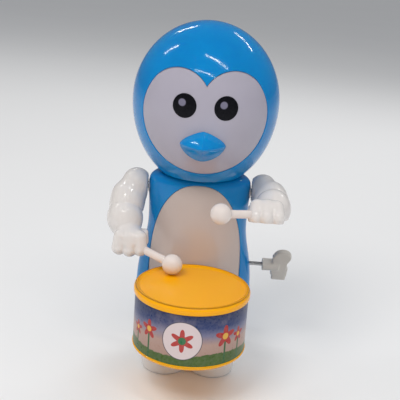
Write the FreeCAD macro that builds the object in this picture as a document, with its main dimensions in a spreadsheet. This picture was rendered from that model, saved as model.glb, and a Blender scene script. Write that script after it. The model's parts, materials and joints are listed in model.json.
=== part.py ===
"""Wind-up drumming penguin: a parametric assembly, in millimetres.

Frame: +Z up, the front faces -Y, origin on the floor under the body's axis.  "Right" and "left" are the
toy's own, so its right side is -X.  The winding key is on its left side.  The right arm rests on the drum
and the left arm is raised; a crank between them swings one up while the other comes down.
"""

import FreeCAD
import Part

import math
import os
import re

import Sketcher
from FreeCAD import Placement, Rotation, Vector

X_AXIS = Vector(1, 0, 0)
Y_AXIS = Vector(0, 1, 0)
Z_AXIS = Vector(0, 0, 1)
RIGHT, LEFT = -1, 1
SIDES = {RIGHT: "right", LEFT: "left"}

# ----------------------------------------------------------------------------- driving dimensions
DIMENSIONS = {
    # walls and gaps
    "shell_wall": 1.7,
    "joint_gap": 0.35,
    "shaft_gap": 0.06,
    # body shell, a tall oval that is wider below; its axis is the frame's Z axis
    "body_floor_z": 27.0,
    "body_top_z": 116.8,
    "collar_radius": 18.0,
    "collar_top_z": 121.5,
    "floor_thickness": 2.0,
    # head, an egg of two half ellipsoids with a flat cut at the neck
    "head_radius": 43.6,
    "head_z": 161.2,
    "head_rise": 46.8,
    "head_drop": 53.0,
    "head_cut_z": 117.4,
    # face plate: chin circle, lobe circles and the cheek circles that join them
    "face_half_width": 35.6,
    "face_centre_z": 159.0,
    "lobe_x": 15.2,
    "lobe_z": 167.0,
    "lobe_radius": 17.6,
    "plate_gap": 0.12,
    "plate_lip": 2.2,
    "eye_x": 11.5,
    "eye_z": 164.6,
    "eye_radius": 6.6,
    "sticker_thickness": 0.18,
    "beak_z": 142.8,
    "beak_half_width": 13.0,
    "beak_rise": 8.0,
    "beak_drop": 10.4,
    "beak_tip_y": -54.4,
    "beak_tip_drop": -1.4,
    # belly plate
    "belly_half_width": 28.4,
    "belly_wide_z": 57.0,
    "belly_top_z": 113.6,
    "belly_drop": 20.0,
    # feet
    "foot_x": 14.3,
    "foot_radius": 14.1,
    "foot_front_y": -28.0,
    "foot_back_y": 5.0,
    "foot_wall": 2.0,
    # drum
    "drum_y": -54.0,
    "drum_radius": 32.2,
    "drum_rim_radius": 33.1,
    "drum_floor_z": 27.0,
    "drum_rim_z": 65.0,
    "lip_height": 4.6,
    "lip_width": 2.6,
    "skin_drop": 1.1,
    "drum_wall": 1.8,
    "label_thickness": 0.25,
    "hoop_height": 3.4,
    # arms, measured from the shoulder pivot in the raised pose
    "shoulder_z": 106.5,
    "arm_swing": 45.0,
    "arm_wall": 1.8,
    "arm_sole_up": -13.5,
    "arm_sole_tilt": 11.0,
    "ball_x": 12.8,
    "ball_forward": 52.6,
    "ball_up": 1.2,
    "ball_radius": 6.0,
    "fist_x": 38.5,
    "fist_forward": 39.5,
    "fist_up": -1.4,
    "fist_radius": 8.9,
    "stick_radius": 2.4,
    "axle_radius": 2.2,
    "bush_radius": 4.0,
    "lever_x": 16.2,
    "lever_thickness": 1.6,
    "lever_length": 30.6,
    # clockwork, with every arbor along X
    "frame_x": 10.8,
    "frame_thickness": 1.6,
    "arbor_radius": 1.2,
    "winding_z": 60.0,
    "great_module": 0.8,
    "great_teeth": 36,
    "second_pinion_teeth": 10,
    "second_angle": 66.0,
    "second_module": 0.6,
    "second_teeth": 30,
    "crank_pinion_teeth": 10,
    "third_module": 0.6,
    "third_teeth": 28,
    "governor_pinion_teeth": 8,
    "governor_angle": 208.0,
    "mesh_gap": 0.12,
    "gear_width": 2.2,
    "crank_disc_radius": 9.6,
    "cam_radius": 3.6,
    "cam_throw": 2.3,
    "crank_disc_x": 12.8,
    "crank_disc_thickness": 1.6,
    "crank_pin_radius": 1.2,
    "pin_shortfall": 0.4,
    "spindle_radius": 3.0,
    "fork_half_width": 5.8,
    "fork_slot": 4.0,
    "fork_floor_z": 82.0,
    "flywheel_radius": 5.4,
    "pivot_radius": 0.8,
    "spring_radius": 13.0,
    "spring_width": 8.6,
    "spring_strip": 0.45,
    "spring_turns": 7,
    # winding key
    "key_hub_x": 42.6,
    "key_hub_length": 12.0,
    "key_hub_radius": 3.9,
    "key_lobe_radius": 5.6,
    "key_lobe_out": 9.0,
    "key_lobe_x": 54.6,
    "key_thickness": 3.4,
    "key_turn": 32.0,
    # shell screws
    "boss_radius": 3.2,
    "boss_height": 9.0,
    "screw_radius": 1.1,
    "screw_head_radius": 2.2,
    "drum_screw_y": -34.0,
    "body_screw_y": 8.0,
}

# Stations of the body shell from the floor up: height, half width, half depth.
BODY_STATIONS = (
    (27.0, 35.2, 19.4),
    (34.0, 36.2, 20.2),
    (46.0, 36.0, 20.5),
    (58.0, 35.0, 20.6),
    (70.0, 32.7, 20.8),
    (82.0, 30.7, 21.0),
    (94.0, 30.6, 21.0),
    (104.0, 31.0, 20.6),
    (111.0, 31.0, 20.0),
    (114.6, 29.6, 19.2),
    (116.8, 26.6, 17.8),
)
for n, station in enumerate(BODY_STATIONS):
    DIMENSIONS.update(zip((f"body_z{n}", f"body_width{n}", f"body_depth{n}"), station))

doc = FreeCAD.newDocument("WindUpDrummer")
sheet = doc.addObject("Spreadsheet::Sheet", "Dims")
for row, (alias, value) in enumerate(DIMENSIONS.items(), start=1):
    sheet.set(f"A{row}", alias.replace("_", " "))
    sheet.set(f"B{row}", str(value))
    sheet.setAlias(f"B{row}", alias)
doc.recompute()

SUBPARTS = []


def dim(formula):
    """The value of a formula in the sheet's aliases, in millimetres or degrees."""
    value = sheet.evalExpression(cell_formula(str(formula)))
    return float(getattr(value, "Value", value))


def cell_formula(formula):
    """The same formula with each alias written as a cell of the sheet."""
    return re.sub(r"[a-z_]+[0-9]*", lambda m: f"Dims.{m[0]}" if m[0] in DIMENSIONS else m[0], formula)


def bind(obj, **formulas):
    for prop, formula in formulas.items():
        obj.setExpression(prop.replace("__", "."), cell_formula(str(formula)))


def place(obj, at=("0", "0", "0"), rotation=None):
    """Puts obj at a point given as three formulas."""
    obj.Placement = Placement(Vector(0, 0, 0), rotation or Rotation())
    for axis, formula in zip("xyz", at):
        obj.setExpression(f"Placement.Base.{axis}", cell_formula(str(formula)))
    return obj


# ----------------------------------------------------------------------------- primitives and booleans
def cylinder(name, radius, height, at, along=Z_AXIS):
    obj = doc.addObject("Part::Cylinder", name)
    bind(obj, Radius=radius, Height=height)
    return place(obj, at, Rotation(Z_AXIS, along))


def box(name, size, at, rotation=None):
    obj = doc.addObject("Part::Box", name)
    bind(obj, Length=size[0], Width=size[1], Height=size[2])
    return place(obj, at, rotation)


def sphere(name, radius, at):
    """A ball with its poles along X and its seam on top."""
    obj = doc.addObject("Part::Sphere", name)
    bind(obj, Radius=radius)
    return place(obj, at, Rotation(Z_AXIS, -X_AXIS))


def fuse(name, shapes):
    obj = doc.addObject("Part::MultiFuse", name)
    obj.Shapes = shapes
    obj.Refine = True
    return obj


def common(name, shapes):
    obj = doc.addObject("Part::MultiCommon", name)
    obj.Shapes = shapes
    return obj


def cut(name, base, *tools):
    obj = doc.addObject("Part::Cut", name)
    obj.Base = base
    obj.Tool = tools[0] if len(tools) == 1 else fuse(name + "_tools", list(tools))
    return obj


def subpart(obj, label):
    """Marks obj as a finished piece, whose label names its file."""
    obj.Label = label
    SUBPARTS.append(obj)
    return obj


# ----------------------------------------------------------------------------- sketches and bodies
def origin_plane(body, role):
    return next(f for f in body.Origin.OriginFeatures if f.Role == role)


def new_sketch(body, name, plane="XY_Plane", offset=None):
    """A sketch on one of the body's own planes, lifted by the formula in offset."""
    sketch = body.newObject("Sketcher::SketchObject", name)
    sketch.AttachmentSupport = [(origin_plane(body, plane), "")]
    sketch.MapMode = "FlatFace"
    if offset is not None:
        bind(sketch, AttachmentOffset__Base__z=offset)
    return sketch


def outline(sketch, points):
    """A closed outline of straight lines through points, each given as two formulas."""
    values = [(dim(u), dim(v)) for u, v in points]
    first = sketch.GeometryCount
    count = len(points)
    for i in range(count):
        start, end = values[i], values[(i + 1) % count]
        sketch.addGeometry(Part.LineSegment(Vector(*start, 0), Vector(*end, 0)))
    for i in range(count):
        line = first + i
        sketch.addConstraint(Sketcher.Constraint("Coincident", line, 2, first + (i + 1) % count, 1))
        for kind, axis, formula, value in (
            ("DistanceX", -2, points[i][0], values[i][0]),
            ("DistanceY", -1, points[i][1], values[i][1]),
        ):
            if abs(value) < 1e-9:
                sketch.addConstraint(Sketcher.Constraint("PointOnObject", line, 1, axis))
                continue
            at = sketch.addConstraint(Sketcher.Constraint(kind, -1, 1, line, 1, value))
            sketch.setExpression(f"Constraints[{at}]", cell_formula(formula))
    return sketch


def circle(sketch, u, v, radius):
    """A circle whose centre and radius are formulas."""
    centre = Vector(dim(u), dim(v), 0)
    ring = sketch.addGeometry(Part.Circle(centre, Z_AXIS, dim(radius)))
    at = sketch.addConstraint(Sketcher.Constraint("Radius", ring, dim(radius)))
    sketch.setExpression(f"Constraints[{at}]", cell_formula(radius))
    for kind, axis, formula, value in (("DistanceX", -2, u, centre.x), ("DistanceY", -1, v, centre.y)):
        if abs(value) < 1e-9:
            sketch.addConstraint(Sketcher.Constraint("PointOnObject", ring, 3, axis))
            continue
        at = sketch.addConstraint(Sketcher.Constraint(kind, -1, 1, ring, 3, value))
        sketch.setExpression(f"Constraints[{at}]", cell_formula(formula))
    return sketch


def pad(body, sketch, length):
    feature = body.newObject("PartDesign::Pad", sketch.Name + "_pad")
    feature.Profile = sketch
    bind(feature, Length=length)
    return feature


def pocket(body, sketch, length, towards_plus_z=True):
    feature = body.newObject("PartDesign::Pocket", sketch.Name + "_pocket")
    feature.Profile = sketch
    feature.Reversed = towards_plus_z
    bind(feature, Length=length)
    return feature


def revolved(name, points, label, at=("0", "0", "0"), rotation=None):
    """A Body turned about its own Z from a closed profile of (radius, height) formulas."""
    body = doc.addObject("PartDesign::Body", name)
    sketch = outline(new_sketch(body, name + "_profile", "XZ_Plane"), points)
    turn = body.newObject("PartDesign::Revolution", name + "_turn")
    turn.Profile = sketch
    turn.ReferenceAxis = (sketch, ["V_Axis"])
    turn.Angle = 360
    place(body, at, rotation)
    return subpart(body, label) if label else body


# ----------------------------------------------------------------------------- where the arbors stand
WINDING_AT = ("0", "winding_z")
WINDING_REACH = "((great_teeth+second_pinion_teeth)*great_module/2+mesh_gap)"
SECOND_AT = (f"{WINDING_REACH}*cos(second_angle)", f"winding_z+{WINDING_REACH}*sin(second_angle)")
SECOND_REACH = "((second_teeth+crank_pinion_teeth)*second_module/2+mesh_gap)"
CRANK_AT = ("0", f"{SECOND_AT[1]}+sqrt({SECOND_REACH}^2-({SECOND_AT[0]})^2)")
THIRD_REACH = "((third_teeth+governor_pinion_teeth)*third_module/2+mesh_gap)"
GOVERNOR_AT = (f"{THIRD_REACH}*cos(governor_angle)", f"{CRANK_AT[1]}+{THIRD_REACH}*sin(governor_angle)")
LEVER_DROP = f"(shoulder_z-({CRANK_AT[1]}))"
CRANK_THROW = f"({LEVER_DROP}*sin(arm_swing/2))"


# ----------------------------------------------------------------------------- outlines and prisms
FAR = "120"


def side(formula, sign):
    """The formula with the sign of a side of the toy."""
    return formula if sign > 0 else f"-({formula})"


def prism(name, wire, start, end):
    """A solid tool: a wire drawn in the XZ plane, spanning y = start to end."""
    tool = doc.addObject("Part::Feature", name)
    wire.translate(Vector(0, start, 0))
    tool.Shape = Part.Face(wire).extrude(Vector(0, end - start, 0))
    return tool


def front_space(name):
    return box(name, (f"2*{FAR}", FAR, f"3*{FAR}"), (f"-{FAR}", f"-{FAR}", "-10"))


def rear_space(name):
    return box(name, (f"2*{FAR}", FAR, f"3*{FAR}"), (f"-{FAR}", "0", "-10"))


def heart_wire(grow):
    """The face plate's outline, made larger all round by grow: one chin arc, two cheeks, two lobes."""
    chin = dim("face_half_width") + grow
    lobe = dim("lobe_radius") + grow
    centre_z = dim("face_centre_z")
    lobe_x, lobe_z = dim("lobe_x"), dim("lobe_z")
    rise = lobe_z - centre_z
    # The cheek circle is centred level with the chin circle, upright where the two meet, and it
    # holds the lobe circle and touches it.
    reach = chin - lobe_x
    cheek = (reach * reach + rise * rise - lobe * lobe) / (2 * (reach - lobe))
    cheek_x = chin - cheek
    away = Vector(lobe_x - cheek_x, 0, rise)
    away.normalize()
    touch = Vector(cheek_x, 0, centre_z) + away * cheek
    notch = Vector(0, 0, lobe_z + math.sqrt(lobe * lobe - lobe_x * lobe_x))
    middle = (touch - Vector(lobe_x, 0, lobe_z)) + (notch - Vector(lobe_x, 0, lobe_z))
    middle.normalize()
    lobe_top = Vector(lobe_x, 0, lobe_z) + middle * lobe
    half_turn = math.atan2(away.z, away.x) / 2
    cheek_mid = Vector(cheek_x + cheek * math.cos(half_turn), 0, centre_z + cheek * math.sin(half_turn))
    corner = Vector(chin, 0, centre_z)

    def flip(point):
        return Vector(-point.x, point.y, point.z)

    arcs = [
        Part.Arc(notch, lobe_top, touch),
        Part.Arc(touch, cheek_mid, corner),
        Part.Arc(corner, Vector(0, 0, centre_z - chin), flip(corner)),
        Part.Arc(flip(corner), flip(cheek_mid), flip(touch)),
        Part.Arc(flip(touch), flip(lobe_top), notch),
    ]
    return Part.Wire([arc.toShape() for arc in arcs])


def belly_wire(grow):
    """The belly plate's outline: a full oval, taller above its widest line than below it."""
    width = dim("belly_half_width") + grow
    rise = dim("belly_top_z-belly_wide_z") + grow
    drop = dim("belly_drop") + grow
    squareness = 2.35
    points = []
    steps = 40
    for n in range(steps):
        turn = 2 * math.pi * n / steps
        across = math.copysign(abs(math.cos(turn)) ** (2 / squareness), math.cos(turn))
        upward = math.copysign(abs(math.sin(turn)) ** (2 / squareness), math.sin(turn))
        height = (rise if upward > 0 else drop) * upward
        points.append(Vector(width * across, 0, dim("belly_wide_z") + height))
    curve = Part.BSplineCurve()
    curve.interpolate(points, PeriodicFlag=True)
    return Part.Wire(curve.toShape())


# ----------------------------------------------------------------------------- head
def head_form(name, inset):
    """The head's egg, drawn in all round by inset, with its seam down the back."""
    level = dim("head_z")
    radius = dim(f"head_radius-({inset})")
    rise, drop = dim(f"head_rise-({inset})"), dim(f"head_drop-({inset})")
    arcs = []
    for reach, start, end in ((rise, 0, math.pi / 2), (drop, math.pi / 2, math.pi)):
        curve = Part.Ellipse(Vector(0, 0, level + reach), Vector(0, radius, level), Vector(0, 0, level))
        arcs.append(Part.ArcOfEllipse(curve, start, end).toShape())
    arcs.append(Part.makeLine(Vector(0, 0, level - drop), Vector(0, 0, level + rise)))
    egg = doc.addObject("Part::Feature", name)
    profile = Part.Face(Part.Wire(Part.__sortEdges__(arcs)))
    egg.Shape = profile.revolve(Vector(0, 0, 0), Z_AXIS, 360)
    return egg


def make_head():
    above_neck = box("above_neck", (f"2*{FAR}", f"2*{FAR}", FAR), (f"-{FAR}", f"-{FAR}", "head_cut_z"))
    whole = cut("head_whole", head_form("head_outer", "0"), head_form("head_inner", "shell_wall"))
    shell = common("head_shell", [whole, above_neck])
    reach = -1.2 * dim("head_radius")
    front = common("head_front_half", [shell, front_space("head_front_space")])
    subpart(cut("head_front", front, prism("heart", heart_wire(0), 0, reach)), "head_front_shell")
    subpart(common("head_rear", [shell, rear_space("head_rear_space")]), "head_rear_shell")

    thick = cut("face_thick", doc.head_outer, head_form("face_inner", "1.8*shell_wall"))
    skin = common("face_skin", [thick, prism("heart_fit", heart_wire(-dim("plate_gap")), 0, reach)])
    backing = cut("face_backing", head_form("lip_outer", "shell_wall+0.1"), doc.face_inner)
    lip_space = prism("heart_lip", heart_wire(dim("plate_lip")), 0, reach)
    lip = common("face_lip", [backing, lip_space, above_neck])
    subpart(fuse("face", [skin, lip]), "face_plate")

    sticker_skin = cut("sticker_skin", head_form("sticker_outer", "-sticker_thickness"), doc.head_outer)
    for sign, word in SIDES.items():
        at = (side("eye_x", sign), "0", "eye_z")
        disc = cylinder(f"{word}_eye_disc", "eye_radius", "head_radius*1.2", at, -Y_AXIS)
        subpart(common(f"{word}_eye", [sticker_skin, disc]), f"{word}_eye_sticker")
    make_beak()
    make_head_spindle()


def make_beak():
    """A four-sided beak whose back follows the face."""
    corner = dim("beak_half_width")
    middle = dim("beak_z")
    root_y = -0.7 * dim("head_radius")
    tip = Vector(0, dim("beak_tip_y"), middle - dim("beak_tip_drop"))
    rim = [
        Vector(corner, root_y, middle),
        Vector(0, root_y, middle + dim("beak_rise")),
        Vector(-corner, root_y, middle),
        Vector(0, root_y, middle - dim("beak_drop")),
    ]
    front_y = -0.9 * dim("head_radius")
    edge = [Vector(p.x, front_y, p.z) for p in rim]
    faces = [Part.Face(Part.makePolygon([*rim, rim[0]]))]
    for n in range(len(rim)):
        after = (n + 1) % len(rim)
        faces.append(Part.Face(Part.makePolygon([rim[n], rim[after], edge[after], edge[n], rim[n]])))
        faces.append(Part.Face(Part.makePolygon([edge[n], edge[after], tip, edge[n]])))
    block = doc.addObject("Part::Feature", "beak_block")
    block.Shape = Part.Solid(Part.Shell(faces))
    subpart(cut("beak_form", block, doc.head_outer), "beak")


def make_head_spindle():
    """The upright spindle under the head, with the fork that the cam rocks, and the head's carrier."""
    post = cylinder("spindle_post", "spindle_radius", "head_cut_z+8-106", ("0", "0", "106"))
    arm = box("spindle_arm", ("11.4", "5", "2.4"), ("-8.4", "-2.5", "106"))
    leg_size = ("1.4", "2*fork_half_width", "108.4-fork_floor_z")
    leg = box("spindle_leg", leg_size, ("-8.4", "-fork_half_width", "fork_floor_z"))
    slot_size = ("4", "2*fork_slot", "96-fork_floor_z+1")
    slot = box("spindle_slot", slot_size, ("-10", "-fork_slot", "fork_floor_z-1"))
    subpart(fuse("spindle_form", [post, arm, cut("spindle_fork", leg, slot)]), "head_spindle")
    disc = cylinder("carrier_disc", "collar_radius-joint_gap", "2.4", ("0", "0", "head_cut_z+5.2"))
    spokes = box("carrier_spokes", ("80", "9", "2.2"), ("-40", "-4.5", "head_cut_z+7.4"))
    bridge = common("carrier_bridge", [spokes, head_form("carrier_space", "shell_wall+0.08")])
    hole = cylinder("carrier_hole", "spindle_radius+0.01", "20", ("0", "0", "head_cut_z"))
    subpart(cut("carrier_form", fuse("carrier_solid", [disc, bridge]), hole), "head_carrier")


# ----------------------------------------------------------------------------- body
def body_form(name, inset, low=None, high=None):
    """A loft through the stations, drawn in by inset, with its ends moved to low and high if given."""
    rings = []
    last = len(BODY_STATIONS) - 1
    for n in range(last + 1):
        ring = doc.addObject("Part::Ellipse", f"{name}_ring{n}")
        bind(ring, MajorRadius=f"body_width{n}-({inset})", MinorRadius=f"body_depth{n}-({inset})")
        height = low if n == 0 and low else high if n == last and high else f"body_z{n}"
        rings.append(place(ring, ("0", "0", height)))
    loft = doc.addObject("Part::Loft", name)
    loft.Sections = rings
    loft.Solid = True
    return loft


def make_body():
    outer = body_form("body_outer", "0")
    inner = body_form("body_inner", "shell_wall", low="body_z0-4", high="body_top_z-shell_wall")
    collar_at = ("0", "0", "body_top_z-1.5")
    collar = cylinder("collar_rim", "collar_radius", "collar_top_z-body_top_z+1.5", collar_at)
    solid = fuse("body_solid", [outer, collar])
    bore = cylinder("collar_bore", "collar_radius-shell_wall", "30", ("0", "0", "body_top_z-shell_wall"))
    shell = cut("body_shell", solid, inner, bore)

    shaft_hole = cylinder("key_hole", "arbor_radius+0.5", "60", ("0", "0", "winding_z"), X_AXIS)
    tools = [shaft_hole]
    for sign, word in SIDES.items():
        tools.append(
            cylinder(f"{word}_bush_seat", "bush_radius", "60", ("0", "0", "shoulder_z"), X_AXIS * sign)
        )
    pierced = cut("body_pierced", shell, *tools)

    boss_spots = [(sign, x, z) for sign in SIDES for x, z in (("27.3", "78"), ("32", "42"))]
    bosses, deep_holes, screws = [], [], []
    for n, (sign, x, z) in enumerate(boss_spots):
        at = (side(x, sign), "-20", z)
        bosses.append(cylinder(f"boss{n}", "boss_radius", "40", at, Y_AXIS))
        head_at = (side(x, sign), "6", z)
        bore_at = (side(x, sign), "-8", z)
        deep_holes.append(cylinder(f"screw_well{n}", "screw_head_radius+0.2", "40", head_at, Y_AXIS))
        deep_holes.append(cylinder(f"screw_bore{n}", "screw_radius", "16", bore_at, Y_AXIS))
        head = cylinder(f"screw_head{n}", "screw_head_radius", "1.6", head_at, Y_AXIS)
        shank = cylinder(f"screw_shank{n}", "screw_radius", "13", (side(x, sign), "-7", z), Y_AXIS)
        screws.append(fuse(f"screw{n}", [head, shank]))
    boss_posts = common("boss_posts", [fuse("boss_bars", bosses), doc.body_inner])
    bossed = cut("body_bossed", fuse("body_with_bosses", [pierced, boss_posts]), *deep_holes)
    belly = prism("belly_cutter", belly_wire(0), -9, -60)
    front = common("body_front_half", [bossed, front_space("body_front_space")])
    subpart(cut("body_front", front, belly), "body_front_shell")
    subpart(common("body_rear", [bossed, rear_space("body_rear_space")]), "body_rear_shell")
    group(screws, "shell_screws")

    inside = body_form("belly_inner", "shell_wall*1.5", low="body_z0-4", high="body_top_z-shell_wall*1.5")
    thick = cut("belly_thick", outer, inside)
    skin = common("belly_skin", [thick, prism("belly_fit", belly_wire(-dim("plate_gap")), -9, -60)])
    ends = {"low": "body_z0-4", "high": "body_top_z-shell_wall-0.1"}
    space = body_form("belly_lip_outer", "shell_wall+0.1", **ends)
    backing = cut("belly_backing", space, inside)
    lip = common("belly_lip", [backing, prism("belly_lip_cutter", belly_wire(dim("plate_lip")), -9, -60)])
    above_floor_at = ("-50", "-50", "body_floor_z+floor_thickness+0.1")
    above_floor = box("above_floor", ("100", "100", "100"), above_floor_at)
    subpart(common("belly", [fuse("belly_solid", [skin, lip]), above_floor]), "belly_plate")

    slab = box("floor_slab", ("100", "60", "floor_thickness"), ("-50", "-30", "body_floor_z"))
    outline_form = body_form("floor_outline", "shell_wall+0.05", low="body_z0-1")
    floor_shapes = [common("floor_plate", [outline_form, slab])]
    floor_holes = []
    for n, sign in enumerate(SIDES):
        spot = (side("foot_x+3", sign), "body_screw_y", "body_floor_z")
        floor_shapes.append(cylinder(f"floor_boss{n}", "boss_radius", "boss_height", spot))
        floor_holes.append(cylinder(f"floor_boss_bore{n}", "screw_radius", "boss_height-2", spot))
    subpart(cut("floor_form", fuse("floor_solid", floor_shapes), *floor_holes), "body_floor")
    for sign, word in SIDES.items():
        ring_at = (side("26.6", sign), "0", "shoulder_z")
        bore_at = (side("25", sign), "0", "shoulder_z")
        ring = cylinder(f"{word}_bush_outer", "bush_radius", "4.6", ring_at, X_AXIS * sign)
        bore = cylinder(f"{word}_bush_bore", "axle_radius+shaft_gap", "9", bore_at, X_AXIS * sign)
        subpart(cut(f"{word}_bush", ring, bore), f"{word}_shoulder_bush")


def group(shapes, label):
    """Several separate solids as one piece, such as a set of screws."""
    together = doc.addObject("Part::Compound", label + "_group")
    together.Links = shapes
    return subpart(together, label)


def make_feet():
    screws = []
    for sign, word in SIDES.items():
        body = doc.addObject("PartDesign::Body", f"{word}_foot_body")
        outer = new_sketch(body, f"{word}_foot_outline")
        capsule(outer, "foot_radius")
        pad(body, outer, "body_floor_z")
        inner = new_sketch(body, f"{word}_foot_hollow")
        capsule(inner, "foot_radius-foot_wall")
        pocket(body, inner, "body_floor_z-foot_wall")
        place(body, (side("foot_x", sign), "0", "0"))
        holes = []
        for n, (x, y) in enumerate((("foot_x", "drum_screw_y"), ("foot_x+3", "body_screw_y"))):
            spot = (side(x, sign), y, "0")
            holes.append(cylinder(f"{word}_foot_hole{n}", "screw_radius+shaft_gap", "body_floor_z+1", spot))
            head_at = (side(x, sign), y, "body_floor_z-foot_wall-1.6")
            head = cylinder(f"{word}_base_screw_head{n}", "screw_head_radius", "1.6", head_at)
            shank = cylinder(f"{word}_base_screw_shank{n}", "screw_radius-0.02", "8.2", head_at)
            screws.append(fuse(f"{word}_base_screw{n}", [head, shank]))
        subpart(cut(f"{word}_foot_form", body, *holes), f"{word}_foot")
    group(screws, "base_screws")


def capsule(sketch, radius):
    """A long outline with round ends, from the front of the foot to its back."""
    size = dim(radius)
    front, back = dim("foot_front_y"), dim("foot_back_y")
    rear_circle = Part.Circle(Vector(0, back, 0), Z_AXIS, size)
    front_circle = Part.Circle(Vector(0, front, 0), Z_AXIS, size)
    ends = (
        sketch.addGeometry(Part.ArcOfCircle(rear_circle, 0, math.pi)),
        sketch.addGeometry(Part.ArcOfCircle(front_circle, math.pi, 2 * math.pi)),
    )
    sides = (
        sketch.addGeometry(Part.LineSegment(Vector(-size, back, 0), Vector(-size, front, 0))),
        sketch.addGeometry(Part.LineSegment(Vector(size, front, 0), Vector(size, back, 0))),
    )
    add = sketch.addConstraint
    add(Sketcher.Constraint("Tangent", ends[0], 2, sides[0], 1))
    add(Sketcher.Constraint("Tangent", sides[0], 2, ends[1], 1))
    add(Sketcher.Constraint("Tangent", ends[1], 2, sides[1], 1))
    add(Sketcher.Constraint("Tangent", sides[1], 2, ends[0], 1))
    for end, formula in ((ends[0], "foot_back_y"), (ends[1], "foot_front_y")):
        add(Sketcher.Constraint("PointOnObject", end, 3, -2))
        at = add(Sketcher.Constraint("DistanceY", -1, 1, end, 3, dim(formula)))
        sketch.setExpression(f"Constraints[{at}]", cell_formula(formula))
    at = add(Sketcher.Constraint("Radius", ends[0], size))
    sketch.setExpression(f"Constraints[{at}]", cell_formula(radius))


# ----------------------------------------------------------------------------- drum
def make_drum():
    at = ("0", "drum_y", "drum_floor_z")
    height = "drum_rim_z-drum_floor_z"
    inner = "drum_radius-label_thickness-drum_wall"
    barrel = "drum_radius-label_thickness"
    revolved(
        "drum_tub",
        [
            ("0", "0"),
            ("drum_radius-1.4", "0"),
            ("drum_radius+0.4", "1.4"),
            ("drum_radius+0.4", "hoop_height"),
            (barrel, "hoop_height"),
            (barrel, f"{height}-lip_height-0.1"),
            (inner, f"{height}-lip_height-0.1"),
            (inner, "drum_wall"),
            ("0", "drum_wall"),
        ],
        None,
        at,
    )
    bosses = []
    wells = []
    for n, sign in enumerate(SIDES):
        spot = (side("foot_x", sign), "drum_screw_y", "drum_floor_z")
        bosses.append(cylinder(f"drum_boss{n}", "boss_radius", "boss_height", spot))
        wells.append(cylinder(f"drum_boss_bore{n}", "screw_radius", "boss_height-2", spot))
    bossed_tub = fuse("drum_barrel_solid", [doc.drum_tub, *bosses])
    subpart(cut("drum_barrel_form", bossed_tub, *wells), "drum_barrel")
    revolved(
        "drum_label_ring",
        [
            (barrel, "hoop_height+0.1"),
            ("drum_radius", "hoop_height+0.1"),
            ("drum_radius", f"{height}-lip_height-0.1"),
            (barrel, f"{height}-lip_height-0.1"),
        ],
        "drum_label",
        at,
    )
    skin_top = f"{height}-skin_drop"
    lid_floor = f"{height}-lip_height"
    revolved(
        "drum_lid_form",
        [
            ("0", f"{skin_top}-drum_wall"),
            (f"{inner}-1.6", f"{skin_top}-drum_wall"),
            (f"{inner}-1.6", f"{lid_floor}-3"),
            (f"{inner}-0.1", f"{lid_floor}-3"),
            (f"{inner}-0.1", lid_floor),
            ("drum_rim_radius-0.6", lid_floor),
            ("drum_rim_radius", f"{lid_floor}+0.8"),
            ("drum_rim_radius", f"{height}-1.1"),
            ("drum_rim_radius-0.9", height),
            ("drum_rim_radius-lip_width+0.6", height),
            ("drum_rim_radius-lip_width", skin_top),
            ("0", skin_top),
        ],
        "drum_lid",
        at,
    )


# ----------------------------------------------------------------------------- arms
# The bulges of an arm from the shoulder forwards: centre (out, ahead, up) and radius.
ARM_STATIONS = (
    (("38.4", "0", "1.2"), "9.8"),
    (("43.6", "12", "-1.6"), "11.4"),
    (("42.4", "26", "-2.6"), "9.8"),
    (("fist_x", "fist_forward", "fist_up"), "fist_radius"),
)
WAIST = 0.93


def arm_spot(centre, sign):
    """A station's centre as formulas, on the side given by sign."""
    return side(centre[0], sign), f"-({centre[1]})", centre[2]


def arm_balls(name, sign, stations, inset):
    """Balls at the stations, drawn in by inset."""
    balls = []
    for n, (centre, radius) in enumerate(stations):
        balls.append(sphere(f"{name}_ball{n}", f"{radius}-({inset})", arm_spot(centre, sign)))
    return balls


def arm_limbs(name, sign):
    """Tapered lengths from each bulge of the arm to the next, a little slimmer than the bulges."""
    limbs = []
    for n, (near, far) in enumerate(zip(ARM_STATIONS, ARM_STATIONS[1:])):
        start, end = (Vector(*map(dim, arm_spot(centre, sign))) for centre, _ in (near, far))
        limb = doc.addObject("Part::Cone", f"{name}_limb{n}")
        bind(limb, Radius1=f"{WAIST}*{near[1]}", Radius2=f"{WAIST}*{far[1]}")
        bind(limb, Height=str((end - start).Length))
        limb.Placement = Placement(start, Rotation(Z_AXIS, end - start))
        limbs.append(limb)
    return limbs


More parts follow.
